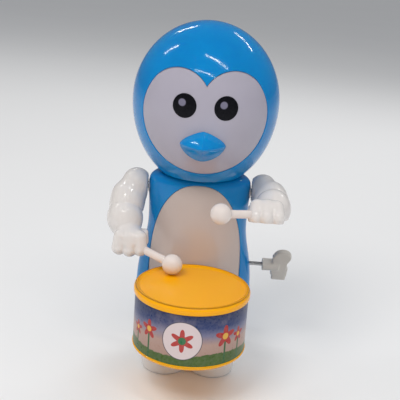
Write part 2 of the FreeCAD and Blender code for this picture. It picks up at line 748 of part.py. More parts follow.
def make_arm(sign, word, lowered):
    """One arm with its stick, axle and lever, drawn raised about its shoulder pivot and then swung."""
    swing = Rotation(X_AXIS, dim("arm_swing") if lowered else 0)
    balls = arm_balls(f"{word}_arm_outer", sign, ARM_STATIONS, "0")
    solid = fuse(f"{word}_arm_solid", [*balls, *arm_limbs(f"{word}_arm", sign)])
    inner_balls = arm_balls(f"{word}_arm_inner", sign, ARM_STATIONS[:-1], "arm_wall")
    hollow = fuse(f"{word}_arm_hollow", inner_balls)
    hollow_front_at = ("-70", "-(fist_forward-9)-60", "-30")
    hollow_front = box(f"{word}_arm_hollow_end", ("140", "60", "60"), hollow_front_at)
    hollow_kept = cut(f"{word}_arm_hollow_kept", hollow, hollow_front)
    boss_at = (side("29.6", sign), "0", "0")
    boss = cylinder(f"{word}_arm_boss", "axle_radius+2", "17.4", boss_at, X_AXIS * sign)
    shell = fuse(f"{word}_arm_shell", [cut(f"{word}_arm_walls", solid, hollow_kept), boss])
    below = doc.addObject("Part::Box", f"{word}_arm_below")
    bind(below, Length="160", Width="120", Height="40")
    sole = Placement(Vector(0, 0, dim("arm_sole_up")), Rotation(X_AXIS, -dim("arm_sole_tilt")))
    below.Placement = sole * Placement(Vector(-80, -100, -40), Rotation())
    inside = box(f"{word}_arm_inside", ("31.6*2", "200", "100"), ("-31.6", "-100", "-50"))
    hole_at = (side("15", sign), "0", "0")
    axle_hole = cylinder(f"{word}_axle_hole", "axle_radius+0.01", "30", hole_at, X_AXIS * sign)

    stick, stick_hole = make_stick(sign, word)
    arm = cut(f"{word}_arm_form", shell, below, inside, axle_hole, stick_hole)
    for obj, label in ((arm, "arm"), (stick, "drumstick")):
        place(obj, ("0", "0", "shoulder_z"))
        obj.Placement.Rotation = swing
        subpart(obj, f"{word}_{label}")

    axle_at = (side("lever_x-lever_thickness/2", sign), "0", "shoulder_z")
    axle = cylinder(f"{word}_axle", "axle_radius", "41-lever_x+lever_thickness/2", axle_at)
    axle.Placement.Rotation = swing * Rotation(Z_AXIS, X_AXIS * sign)
    subpart(axle, f"{word}_arm_axle")
    make_lever(sign, word, lowered)


def make_stick(sign, word):
    """A drumstick from inside the fist to its ball, and the slightly wider hole that it is glued into."""
    fist = Vector(*map(dim, arm_spot(("fist_x", "fist_forward", "fist_up"), sign)))
    tip_at = arm_spot(("ball_x", "ball_forward", "ball_up"), sign)
    tip = Vector(*map(dim, tip_at))
    along = (tip - fist).normalize()
    back = fist - along * 3
    turn = Rotation(Z_AXIS, along)
    rods = []
    for label, radius, start in (("shaft", "stick_radius", 0), ("hole", "stick_radius+0.02", 0.02)):
        rod = doc.addObject("Part::Cylinder", f"{word}_stick_{label}")
        bind(rod, Radius=radius, Height=str((tip - back).Length))
        rod.Placement = Placement(back - along * start, turn)
        rods.append(rod)
    ball = sphere(f"{word}_stick_ball", "ball_radius", tip_at)
    return fuse(f"{word}_stick", [rods[0], ball]), rods[1]


def make_lever(sign, word, lowered):
    """The slotted lever on the axle's inner end, which a crank pin rocks."""
    at_x = side("lever_x", sign)
    hub = cylinder(f"{word}_lever_hub", "axle_radius+2.2", "lever_thickness", (at_x, "0", "0"), X_AXIS)
    bar_size = ("lever_thickness", "5.8", "lever_length")
    bar = box(f"{word}_lever_bar", bar_size, (at_x, "-2.9", "-lever_length"))
    slot_top = f"{LEVER_DROP}-{CRANK_THROW}-crank_pin_radius-0.3"
    slot_length = f"2*({CRANK_THROW}+crank_pin_radius+0.3)"
    slot = box(
        f"{word}_lever_slot",
        ("lever_thickness+2", "2*crank_pin_radius+0.4", slot_length),
        (f"{at_x}-1", "-crank_pin_radius-0.2", f"-({slot_top})-{slot_length}"),
    )
    bore_at = (f"{at_x}-1", "0", "0")
    bore = cylinder(f"{word}_lever_bore", "axle_radius+0.01", "lever_thickness+2", bore_at, X_AXIS)
    lever = cut(f"{word}_lever", fuse(f"{word}_lever_solid", [hub, bar]), slot, bore)
    place(lever, ("-lever_thickness/2", "0", "shoulder_z"))
    half = dim("arm_swing") / 2
    lever.Placement.Rotation = Rotation(X_AXIS, half if lowered else -half)
    subpart(lever, f"{word}_arm_lever")


# ----------------------------------------------------------------------------- clockwork
ACROSS = Rotation(Vector(1, 1, 1), 120)


def gear(label, module, at, x, bore, first_tooth, width="gear_width"):
    """A spur gear on an arbor along X; first_tooth is the angle of one tooth, from +Y towards +Z."""
    teeth = TEETH_OF[label]
    body = doc.addObject("PartDesign::Body", label + "_body")
    disc = new_sketch(body, label + "_disc")
    circle(disc, "0", "0", f"{teeth}*{module}/2-1.25*{module}")
    circle(disc, "0", "0", bore)
    pad(body, disc, width)
    tooth = new_sketch(body, label + "_tooth")
    root, tip = f"({teeth}*{module}/2-1.35*{module})", f"({teeth}*{module}/2+0.8*{module})"
    flank = ((root, "-0.9"), (tip, "-0.32"), (tip, "0.32"), (root, "0.9"))
    outline(tooth, [(out, f"{across}*{module}") for out, across in flank])
    pad_tooth = pad(body, tooth, width)
    ring = body.newObject("PartDesign::PolarPattern", label + "_teeth")
    ring.Originals = [pad_tooth]
    ring.Axis = (disc, ["N_Axis"])
    ring.Angle = 360
    bind(ring, Occurrences=teeth)
    body.Tip = ring
    place(body, (x, *at), ACROSS * Rotation(Z_AXIS, first_tooth))
    return subpart(body, label)


TEETH_OF = {
    "great_wheel": "great_teeth",
    "second_pinion": "second_pinion_teeth",
    "second_wheel": "second_teeth",
    "crank_pinion": "crank_pinion_teeth",
    "third_wheel": "third_teeth",
    "governor_pinion": "governor_pinion_teeth",
}


def meshed(first_tooth, first_teeth, bearing, second_teeth):
    """The angle of a tooth of a second gear so that it meets a gap of the first."""
    return bearing + 180 + 180 / second_teeth - (first_tooth - bearing) * first_teeth / second_teeth


def arbor(label, radius, at, start, end):
    return subpart(cylinder(label + "_form", radius, f"{end}-({start})", (start, *at), X_AXIS), label)


def make_gears():
    teeth = {label: dim(count) for label, count in TEETH_OF.items()}
    reach_end = "frame_x+frame_thickness+0.3"
    arbor("winding_arbor", "arbor_radius", WINDING_AT, f"-({reach_end})", "key_hub_x+key_hub_length-2")
    arbor("second_arbor", "pivot_radius", SECOND_AT, f"-({reach_end})", reach_end)
    crank_end = "crank_disc_x+crank_disc_thickness"
    arbor("crank_arbor", "arbor_radius", CRANK_AT, f"-({crank_end})", crank_end)
    arbor("governor_arbor", "pivot_radius", GOVERNOR_AT, f"-({reach_end})", reach_end)

    shaft = "arbor_radius+0.01"
    pivot = "pivot_radius+0.01"
    wide = "gear_width+0.2"
    gear("great_wheel", "great_module", WINDING_AT, "1.5", shaft, 0)
    phase = meshed(0, teeth["great_wheel"], dim("second_angle"), teeth["second_pinion"])
    gear("second_pinion", "great_module", SECOND_AT, "1.4", pivot, phase, wide)
    gear("second_wheel", "second_module", SECOND_AT, "4.6", pivot, 0)
    rise = dim(CRANK_AT[1]) - dim(SECOND_AT[1])
    bearing = math.degrees(math.atan2(rise, -dim(SECOND_AT[0])))
    phase = meshed(0, teeth["second_wheel"], bearing, teeth["crank_pinion"])
    gear("crank_pinion", "second_module", CRANK_AT, "4.5", shaft, phase, wide)
    gear("third_wheel", "third_module", CRANK_AT, "-2", shaft, 0)
    phase = meshed(0, teeth["third_wheel"], dim("governor_angle"), teeth["governor_pinion"])
    gear("governor_pinion", "third_module", GOVERNOR_AT, "-2.1", pivot, phase, wide)

    rim = cylinder("flywheel_rim", "flywheel_radius", "4", ("4.6", *GOVERNOR_AT), X_AXIS)
    hole = cylinder("flywheel_bore", pivot, "6", ("4", *GOVERNOR_AT), X_AXIS)
    subpart(cut("flywheel_form", rim, hole), "flywheel")

    cam_centre = (CRANK_AT[0] + "+cam_throw", CRANK_AT[1])
    cam = cylinder("cam_disc", "cam_radius", "2.2", ("-4.8", *cam_centre), X_AXIS)
    cam_bore = cylinder("cam_bore", shaft, "6", ("-6", *CRANK_AT), X_AXIS)
    subpart(cut("cam_form", cam, cam_bore), "head_cam")
    half_swing = "arm_swing/2"
    for sign, word in SIDES.items():
        face_at = (side("crank_disc_x", sign), *CRANK_AT)
        thick = "crank_disc_thickness"
        disc = cylinder(f"{word}_disc", "crank_disc_radius", thick, face_at, X_AXIS * sign)
        across = side(f"{CRANK_THROW}*cos({half_swing})", -sign)
        pin_at = (side(crank_end, sign), across, f"{CRANK_AT[1]}+{CRANK_THROW}*sin({half_swing})")
        pin_length = f"lever_x-lever_thickness/2-pin_shortfall-({crank_end})"
        pin = cylinder(f"{word}_pin", "crank_pin_radius", pin_length, pin_at, X_AXIS * sign)
        bore = cylinder(f"{word}_disc_bore", shaft, thick, face_at, X_AXIS * sign)
        subpart(cut(f"{word}_crank", fuse(f"{word}_crank_solid", [disc, pin]), bore), f"{word}_crank_disc")


def make_motor_frame():
    """Two upright plates, the pillars between them, the bridge over them and the mainspring."""
    pillars = [(y, z) for z in ("34", "98") for y in ("-12", "12")]
    posts, threads, screws = [], [], []
    for n, (y, z) in enumerate(pillars):
        posts.append(cylinder(f"pillar{n}", "1.9", "2*frame_x", ("-frame_x", y, z), X_AXIS))
        for sign, word in SIDES.items():
            along = X_AXIS * sign
            thread_at, shank_at, head_at = (
                (side(x, sign), y, z) for x in ("frame_x-3.1", "frame_x-3", "frame_x+frame_thickness")
            )
            threads.append(cylinder(f"{word}_pillar_thread{n}", "0.8", "3.2", thread_at, along))
            head = cylinder(f"{word}_plate_screw_head{n}", "1.9", "1", head_at, along)
            shank = cylinder(f"{word}_plate_screw_shank{n}", "0.8", "frame_thickness+3.2", shank_at, along)
            screws.append(fuse(f"{word}_plate_screw{n}", [head, shank]))
    group([cut("pillar_form", fuse("pillar_posts", posts), *threads)], "frame_pillars")
    group(screws, "frame_screws")

    pivots = [(at, "arbor_radius+shaft_gap") for at in (WINDING_AT, CRANK_AT)]
    pivots += [(at, "pivot_radius+shaft_gap") for at in (SECOND_AT, GOVERNOR_AT)]
    pivots += [(at, "0.82") for at in pillars]
    foot = "body_floor_z+floor_thickness"
    for sign, word in SIDES.items():
        start = "frame_x" if sign > 0 else "-frame_x-frame_thickness"
        shapes = [
            box(f"{word}_plate_low", ("frame_thickness", "29.2", "70"), (start, "-14.6", foot)),
            box(f"{word}_plate_high", ("frame_thickness", "28", "12"), (start, "-14", f"{foot}+70")),
        ]
        if sign == RIGHT:
            post_at = ("-frame_x-0.1", "-spring_radius-1.2", "winding_z")
            shapes.append(cylinder("spring_post", "0.9", "frame_x-0.5", post_at, X_AXIS))
        holes = []
        for n, (at, radius) in enumerate(pivots):
            holes.append(cylinder(f"{word}_plate_hole{n}", radius, "6", (f"{start}-2", *at), X_AXIS))
        plate = fuse(f"{word}_plate_solid", shapes)
        subpart(cut(f"{word}_plate_form", plate, *holes), f"{word}_motor_plate")

    top = f"{foot}+82"
    deck_at = ("-frame_x-frame_thickness", "-7", top)
    deck = box("bridge_deck", ("2*(frame_x+frame_thickness)", "14", "1.6"), deck_at)
    neck = cylinder("bridge_neck", "spindle_radius+2", "4", ("0", "0", top))
    bore = cylinder("bridge_bore", "spindle_radius+shaft_gap", "12", ("0", "0", f"{top}-4"))
    subpart(cut("bridge_form", fuse("bridge_solid", [deck, neck]), bore), "neck_bearing")

    make_mainspring()


def make_mainspring():
    """A flat strip wound in a spiral from the arbor out to the post on the right plate."""
    start, end = dim("arbor_radius+0.2"), dim("spring_radius-spring_strip")
    turns = dim("spring_turns")
    strip = dim("spring_strip")
    steps = int(turns * 16)
    inner, outer = [], []
    for n in range(steps + 1):
        angle = 2 * math.pi * turns * n / steps - math.pi
        radius = start + (end - start) * n / steps
        for points, size in ((inner, radius), (outer, radius + strip)):
            points.append(Vector(0, size * math.cos(angle), size * math.sin(angle)))
    edges = []
    for points in (inner, outer):
        curve = Part.BSplineCurve()
        curve.interpolate(points)
        edges.append(curve.toShape())
    edges.append(Part.makeLine(inner[0], outer[0]))
    edges.append(Part.makeLine(inner[-1], outer[-1]))
    spring = doc.addObject("Part::Feature", "mainspring_form")
    face = Part.Face(Part.Wire(Part.__sortEdges__(edges)))
    spring.Shape = face.extrude(Vector(dim("spring_width"), 0, 0))
    place(spring, ("-0.6-spring_width", "0", "winding_z"))
    subpart(spring, "mainspring")


def make_key():
    hub = cylinder("key_hub", "key_hub_radius", "key_hub_length", ("0", "0", "0"), X_AXIS)
    shapes = [hub]
    x = "key_lobe_x-key_hub_x"
    for n, sign in enumerate(SIDES):
        at = (x, "-key_thickness/2", side("key_lobe_out", sign))
        shapes.append(cylinder(f"key_lobe{n}", "key_lobe_radius", "key_thickness", at, Y_AXIS))
    web = ("2*key_lobe_radius-2", "key_thickness", "2*key_lobe_out")
    shapes.append(box("key_web", web, (f"{x}-key_lobe_radius+1", "-key_thickness/2", "-key_lobe_out")))
    socket = cylinder("key_socket", "arbor_radius+0.01", "key_hub_length-1.9", ("-0.1", "0", "0"), X_AXIS)
    key = cut("key_form", fuse("key_solid", shapes), socket)
    place(key, ("key_hub_x", "0", "winding_z"))
    key.Placement.Rotation = Rotation(X_AXIS, dim("key_turn"))
    subpart(key, "key")


make_head()
make_body()
make_feet()
make_drum()
for arm_side, arm_word in SIDES.items():
    make_arm(arm_side, arm_word, lowered=arm_side == RIGHT)
make_motor_frame()
make_gears()
make_key()
doc.recompute()

# ----------------------------------------------------------------------------- checks and files
for obj in doc.Objects:
    if "Invalid" in obj.State or "Error" in obj.State:
        raise RuntimeError(f"{obj.Name} did not compute: {obj.State}")
for obj in SUBPARTS:
    if obj.Shape.isNull() or not obj.Shape.isValid() or obj.Shape.Volume < 0.01:
        raise RuntimeError(f"{obj.Label} has no sound shape")

os.makedirs("parts", exist_ok=True)
for obj in SUBPARTS:
    obj.Shape.exportStep(f"parts/{obj.Label}.step")
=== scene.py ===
"""The look of the wind-up drumming penguin: a glossy moulded toy, in metres in the row's frame.

Shapes are worked out in millimetres and scaled when a mesh is made.  The toy's own right is -X.
"""

import json
import math

import bmesh
import bpy
import numpy as np
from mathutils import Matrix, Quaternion, Vector


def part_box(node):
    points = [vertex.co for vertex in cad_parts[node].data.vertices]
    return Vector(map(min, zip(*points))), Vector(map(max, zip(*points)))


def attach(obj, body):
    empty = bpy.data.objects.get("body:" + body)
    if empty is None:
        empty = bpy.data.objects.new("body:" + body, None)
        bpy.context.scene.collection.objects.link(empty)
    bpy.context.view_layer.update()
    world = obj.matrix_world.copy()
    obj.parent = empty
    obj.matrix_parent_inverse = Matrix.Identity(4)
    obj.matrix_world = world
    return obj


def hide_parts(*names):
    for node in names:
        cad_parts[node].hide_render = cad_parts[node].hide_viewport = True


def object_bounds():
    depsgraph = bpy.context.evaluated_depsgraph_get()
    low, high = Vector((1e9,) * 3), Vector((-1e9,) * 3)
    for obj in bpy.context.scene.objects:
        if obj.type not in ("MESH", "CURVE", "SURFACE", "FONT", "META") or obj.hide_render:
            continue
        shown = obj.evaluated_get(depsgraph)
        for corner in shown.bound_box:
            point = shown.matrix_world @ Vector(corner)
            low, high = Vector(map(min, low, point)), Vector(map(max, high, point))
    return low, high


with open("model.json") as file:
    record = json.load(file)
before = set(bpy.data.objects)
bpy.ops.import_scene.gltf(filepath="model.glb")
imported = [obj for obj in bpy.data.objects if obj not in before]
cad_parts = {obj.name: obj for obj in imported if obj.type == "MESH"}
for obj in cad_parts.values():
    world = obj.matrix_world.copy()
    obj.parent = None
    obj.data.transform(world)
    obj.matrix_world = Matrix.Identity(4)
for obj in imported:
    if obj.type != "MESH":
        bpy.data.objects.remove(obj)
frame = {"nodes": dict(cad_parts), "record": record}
START_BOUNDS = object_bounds()
MM = 0.001
SIDES = {"right": -1, "left": 1}


def limits(node):
    """Lowest and highest corner of a CAD node, in millimetres."""
    low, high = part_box(node)
    return np.array(low) / MM, np.array(high) / MM


def joint_called(name):
    """A joint's entry in the record."""
    return next(joint for joint in frame["record"]["behaviour"]["joints"] if joint["name"] == name)


def joint_at(name):
    """A joint's point in millimetres."""
    return np.array(joint_called(name)["pos_m"]) / MM


# ----------------------------------------------------------------------------- materials
class Graph:
    """A material's nodes, with short names for the ones used here."""

    def __init__(self, name):
        self.material = bpy.data.materials.new(name)
        self.material.use_nodes = True
        self.nodes = self.material.node_tree.nodes
        self.links = self.material.node_tree.links
        self.shader = self.nodes["Principled BSDF"]

    def add(self, kind, **inputs):
        node = self.nodes.new("ShaderNode" + kind)
        for key, value in inputs.items():
            self.put(node.inputs[key.replace("_", " ")], value)
        return node

    def put(self, socket, value):
        if isinstance(value, bpy.types.NodeSocket):
            self.links.new(value, socket)
        else:
            socket.default_value = value

    def math(self, operation, *values, clamp=False):
        """The output of a Math node."""
        node = self.nodes.new("ShaderNodeMath")
        node.operation = operation
        node.use_clamp = clamp
        for socket, value in zip(node.inputs, values):
            self.put(socket, value)
        return node.outputs[0]

    def coordinates(self, kind="Object"):
        return self.add("TexCoord").outputs[kind]

    def noise(self, scale, detail=3.0, roughness=0.55, vector=None):
        node = self.add("TexNoise", Scale=scale, Detail=detail, Roughness=roughness)
        self.links.new(vector or self.coordinates(), node.inputs["Vector"])
        return node.outputs["Fac"]

    def ramp(self, factor, *stops):
        """A colour ramp through (position, colour) stops."""
        node = self.nodes.new("ShaderNodeValToRGB")
        elements = node.color_ramp.elements
        while len(elements) < len(stops):
            elements.new(0.5)
        for element, (position, colour) in zip(elements, stops):
            element.position = position
            element.color = (*colour, 1.0)
        self.links.new(factor, node.inputs[0])
        return node.outputs[0]

    def remap(self, value, low, high, to_low, to_high):
        node = self.add("MapRange", Value=value, From_Min=low, From_Max=high, To_Min=to_low, To_Max=to_high)
        return node.outputs[0]

    def mix(self, factor, first, second):
        node = self.nodes.new("ShaderNodeMix")
        node.data_type = "RGBA"
        self.put(node.inputs[0], factor)
        for socket, value in ((node.inputs[6], first), (node.inputs[7], second)):
            self.put(socket, (*value, 1.0) if isinstance(value, tuple) else value)
        return node.outputs[2]

    def below(self, value, edge, softness):
        """1 where value is under edge, 0 above it, with a soft step."""
        steep = self.math("DIVIDE", self.math("SUBTRACT", edge, value), softness)
        return self.math("ADD", steep, 0.5, clamp=True)

    def bump(self, height, strength, distance):
        node = self.add("Bump", Strength=strength, Distance=distance, Height=height)
        self.links.new(node.outputs[0], self.shader.inputs["Normal"])

    def set(self, **inputs):
        for key, value in inputs.items():
            self.put(self.shader.inputs[key.replace("_", " ")], value)


def plastic(name, colour, shade, roughness, glow=0.0, radius=(1.0, 1.0, 1.0), coat=0.0, shine=0.5):
    """Moulded plastic: faint flow clouding, finger-dulled patches and a slightly uneven skin."""
    graph = Graph(name)
    flow = graph.noise(18.0, detail=4.0)
    graph.set(Base_Color=graph.mix(graph.remap(flow, 0.35, 0.68, 0.0, 1.0), colour, shade))
    dull = graph.noise(60.0, detail=5.0)
    graph.set(Roughness=graph.remap(dull, 0.4, 0.75, roughness, roughness + 0.07))
    graph.set(IOR=1.5, Specular_IOR_Level=shine, Coat_Weight=coat, Coat_Roughness=0.03)
    if glow:
        graph.set(Subsurface_Weight=glow, Subsurface_Radius=radius, Subsurface_Scale=0.004)
    graph.bump(graph.noise(95.0, detail=2.0), 0.012, 0.0004)
    return graph.material


def metal(name, colour, roughness):
    """Plated or drawn metal with fine grain along X and a few duller spots."""
    graph = Graph(name)
    stretched = graph.add("Mapping", Scale=(0.08, 1.0, 1.0), Vector=graph.coordinates())
    grain = graph.noise(2600.0, detail=3.0, vector=stretched.outputs[0])
    dark = tuple(0.72 * c for c in colour)
    graph.set(Base_Color=graph.mix(graph.remap(grain, 0.3, 0.7, 0.0, 1.0), dark, colour), Metallic=1.0)
    graph.set(Roughness=graph.remap(graph.noise(140.0), 0.35, 0.7, roughness, roughness + 0.16))
    graph.bump(grain, 0.12, 0.00005)
    return graph.material


def eye_print():
    """Black ink with a pale round glint and a soft edge; the piece's own origin is the eye's centre."""
    graph = Graph("eye_print")
    x, _, z = axes_of(graph, graph.coordinates())
    wide = graph.math("SUBTRACT", x, -0.0014)
    high = graph.math("SUBTRACT", z, 0.0017)
    squares = graph.math("ADD", graph.math("MULTIPLY", wide, wide), graph.math("MULTIPLY", high, high))
    away = graph.math("SQRT", squares)
    glint = graph.below(away, 0.0020, 0.0005)
    speckle = graph.noise(900.0, detail=2.0)
    ink = graph.mix(graph.remap(speckle, 0.3, 0.7, 0.0, 1.0), (0.002, 0.002, 0.004), (0.007, 0.007, 0.010))
    graph.set(Base_Color=graph.mix(glint, ink, (0.19, 0.18, 0.25)))
    graph.set(Roughness=graph.remap(speckle, 0.3, 0.7, 0.30, 0.38), Specular_IOR_Level=0.15)
    return graph.material


def axes_of(graph, vector):
    split = graph.add("SeparateXYZ", Vector=vector)
    return split.outputs[0], split.outputs[1], split.outputs[2]


def drum_print(radius, low, high):
    """The printed band: sky over haze over a green hill, faint clouds, a flower badge and four flowers."""
    graph = Graph("drum_print")
    x, y, z = axes_of(graph, graph.coordinates())
    turn = graph.math("ARCTAN2", x, graph.math("MULTIPLY", y, -1.0))
    along = graph.math("MULTIPLY", turn, radius)
    level = graph.math("DIVIDE", graph.math("SUBTRACT", z, low), high - low)
    height = graph.math("SUBTRACT", z, low)

    wavy = graph.math("MULTIPLY", graph.math("SUBTRACT", graph.noise(14.0, detail=2.0), 0.5), 0.22)
    sky = graph.ramp(
        graph.math("ADD", level, wavy),
        (0.0, (0.40, 0.24, 0.19)),
        (0.42, (0.45, 0.29, 0.24)),
        (0.60, (0.17, 0.17, 0.28)),
        (0.74, (0.020, 0.040, 0.15)),
        (1.0, (0.004, 0.014, 0.075)),
    )
    puffs = graph.remap(graph.noise(38.0, detail=5.0), 0.56, 0.70, 0.0, 1.0)
    cloud = graph.math("MULTIPLY", puffs, 0.3, clamp=True)
    picture = graph.mix(cloud, sky, (0.46, 0.36, 0.36))

    roll = graph.math("MULTIPLY", graph.math("SINE", graph.math("MULTIPLY", turn, 3.0)), 0.035)
    tufts = graph.math("MULTIPLY", graph.math("SUBTRACT", graph.noise(420.0, detail=2.0), 0.5), 0.06)
    hill_top = graph.math("ADD", graph.math("ADD", roll, tufts), 0.2)
    grass = graph.mix(graph.noise(220.0), (0.030, 0.075, 0.008), (0.085, 0.15, 0.02))
    picture = graph.mix(graph.below(level, hill_top, 0.02), picture, grass)

    def offset(centre_along, centre_height):
        """Distances along the band and up it from a spot."""
        across = graph.math("SUBTRACT", along, centre_along)
        up = graph.math("SUBTRACT", height, centre_height)
        return across, up

    def far(across, up):
        squares = graph.math("ADD", graph.math("MULTIPLY", across, across), graph.math("MULTIPLY", up, up))
        return graph.math("SQRT", squares)

    def petals(across, up, size, count):
        """A flower's radius in each direction."""
        angle = graph.math("ARCTAN2", across, up)
        lobes = graph.math("COSINE", graph.math("MULTIPLY", angle, count))
        return graph.math("ADD", graph.math("MULTIPLY", lobes, 0.28 * size), 0.72 * size)

    soft = 0.0003
    badge_x, badge_z = offset(-0.0035, 0.0148)
    badge = far(badge_x, badge_z)
    picture = graph.mix(graph.below(badge, 0.0112, soft), picture, (0.035, 0.035, 0.06))
    picture = graph.mix(graph.below(badge, 0.0108, soft), picture, (0.72, 0.60, 0.60))
    badge_flower = petals(badge_x, badge_z, 0.0068, 6.0)
    picture = graph.mix(graph.below(badge, badge_flower, soft), picture, (0.46, 0.035, 0.03))
    picture = graph.mix(graph.below(badge, 0.0022, soft), picture, (0.03, 0.16, 0.06))

    flowers = ((0.0215, 0.0165, 1.0), (0.0320, 0.0150, 0.7), (-0.0240, 0.0170, 0.85), (-0.0345, 0.014, 0.65))
    for centre, base, size in flowers:
        bloom_x, bloom_z = offset(centre, base)
        stem_wide = graph.below(graph.math("ABSOLUTE", bloom_x), 0.0006, soft)
        stem = graph.math("MULTIPLY", stem_wide, graph.below(bloom_z, 0.0, soft))
        picture = graph.mix(stem, picture, (0.025, 0.11, 0.03))
        bloom = far(bloom_x, bloom_z)
        edge = petals(bloom_x, bloom_z, 0.0066 * size, 5.0)
        picture = graph.mix(graph.below(bloom, edge, soft), picture, (0.42, 0.02, 0.018))
        picture = graph.mix(graph.below(bloom, 0.0019 * size, soft), picture, (0.75, 0.42, 0.05))

    fibre = graph.noise(700.0, detail=4.0)
    faded = graph.mix(graph.remap(fibre, 0.3, 0.7, 0.0, 0.10), picture, (0.5, 0.48, 0.46))
    graph.set(Base_Color=faded, Roughness=graph.remap(fibre, 0.3, 0.7, 0.26, 0.38), Specular_IOR_Level=0.3)
    graph.bump(fibre, 0.05, 0.0001)
    return graph.material


BLUE = plastic(
    "blue_plastic_look",
    (0.001, 0.25, 0.60),
    (0.001, 0.19, 0.50),
    0.07,
    glow=0.3,
    radius=(0.05, 0.5, 1.0),
    shine=0.42,
)
WHITE = plastic("white_plastic_look", (0.74, 0.70, 0.67), (0.70, 0.66, 0.63), 0.12, glow=0.25, coat=0.3)
ARM = plastic("arm_plastic_look", (0.76, 0.715, 0.69), (0.72, 0.68, 0.655), 0.09, glow=0.25, coat=0.4)
STICK = plastic("stick_plastic_look", (0.78, 0.70, 0.66), (0.74, 0.66, 0.62), 0.16, glow=0.3, coat=0.2)
FACE = plastic("face_plastic_look", (0.43, 0.405, 0.48), (0.40, 0.375, 0.44), 0.20, glow=0.2, coat=0.12)
BELLY = plastic("belly_plastic_look", (0.56, 0.475, 0.44), (0.52, 0.435, 0.40), 0.18, glow=0.2, coat=0.15)
AMBER = plastic(
    "drum_plastic_look",
    (1.0, 0.435, 0.0),
    (0.99, 0.42, 0.0),
    0.20,
    glow=0.2,
    radius=(1.0, 0.5, 0.05),
    coat=0.12,
    shine=0.3,
)
KEY = plastic("key_plastic_look", (0.60, 0.565, 0.52), (0.55, 0.52, 0.475), 0.34)
INNER = plastic("inner_plastic_look", (0.62, 0.63, 0.65), (0.55, 0.56, 0.58), 0.4)
NYLON = plastic("gear_plastic_look", (0.75, 0.74, 0.70), (0.68, 0.67, 0.63), 0.35)
STEEL = metal("steel_look", (0.60, 0.61, 0.63), 0.24)
SHAFT = metal("shaft_look", (0.55, 0.56, 0.57), 0.2)
SPRING = metal("spring_look", (0.24, 0.27, 0.36), 0.25)
BRASS = metal("brass_look", (0.74, 0.53, 0.22), 0.2)

SLOT_LOOK = {
    "inner_plastic": INNER,
    "gear_plastic": NYLON,
    "gear_brass": BRASS,
    "steel": STEEL,
    "screw_steel": STEEL,
    "shaft_steel": SHAFT,
    "spring_steel": SPRING,
}


# ----------------------------------------------------------------------------- meshes
def make(name, points, faces, look, body, nodes=(), sharp=None, origin=(0, 0, 0)):
    """A smooth-shaded piece from points in millimetres that rides on a body."""
    mesh = bpy.data.meshes.new(name)
    local = (np.asarray(points, dtype=float) - np.asarray(origin, dtype=float)) * MM
    mesh.from_pydata(local.tolist(), [], [tuple(int(i) for i in face) for face in faces])
    build = bmesh.new()
    build.from_mesh(mesh)
    bmesh.ops.remove_doubles(build, verts=build.verts, dist=1e-6)
    bmesh.ops.recalc_face_normals(build, faces=build.faces)
    build.to_mesh(mesh)
    build.free()
    mesh.shade_smooth()
    if sharp is not None:
        mesh.set_sharp_from_angle(angle=math.radians(sharp))
    piece = bpy.data.objects.new(name, mesh)
    bpy.context.scene.collection.objects.link(piece)
    piece.location = np.asarray(origin, dtype=float) * MM
    piece.data.materials.append(look)
    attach(piece, body)
    if nodes:
        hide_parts(*nodes)
    return piece


def grid_faces(rows, columns, closed):
    """Faces of a grid of rows x columns points; closed joins the last column to the first."""
    faces = []
    for r in range(rows - 1):
        for c in range(columns if closed else columns - 1):
            after = (c + 1) % columns
            here, above = r * columns, (r + 1) * columns
            faces.append((here + c, here + after, above + after, above + c))
    return faces


def lathe(profile, centre, steps=160):
    """Points and faces of a profile of (radius, z) turned about the upright line through centre."""
    turns = np.linspace(0, 2 * math.pi, steps, endpoint=False)
    rows = [
        np.stack([centre[0] + r * np.cos(turns), centre[1] + r * np.sin(turns), np.full(steps, z)], 1)
        for r, z in profile
    ]
    return np.concatenate(rows), grid_faces(len(profile), steps, True)


def rounded_profile(corners):
    """A profile from (radius, z, rounding) corners, with an arc at each rounded one."""
    path = []
    for n, (r, z, rounding) in enumerate(corners):
        here = np.array([r, z], dtype=float)
        if rounding <= 0 or n in (0, len(corners) - 1):
            path.append(here)
            continue
        before = np.array(corners[n - 1][:2], dtype=float) - here
        after = np.array(corners[n + 1][:2], dtype=float) - here
        before, after = before / np.linalg.norm(before), after / np.linalg.norm(after)
        for t in np.linspace(0, 1, 9):
            start, end = here + before * rounding, here + after * rounding
            path.append((1 - t) ** 2 * start + 2 * t * (1 - t) * here + t**2 * end)
    return path


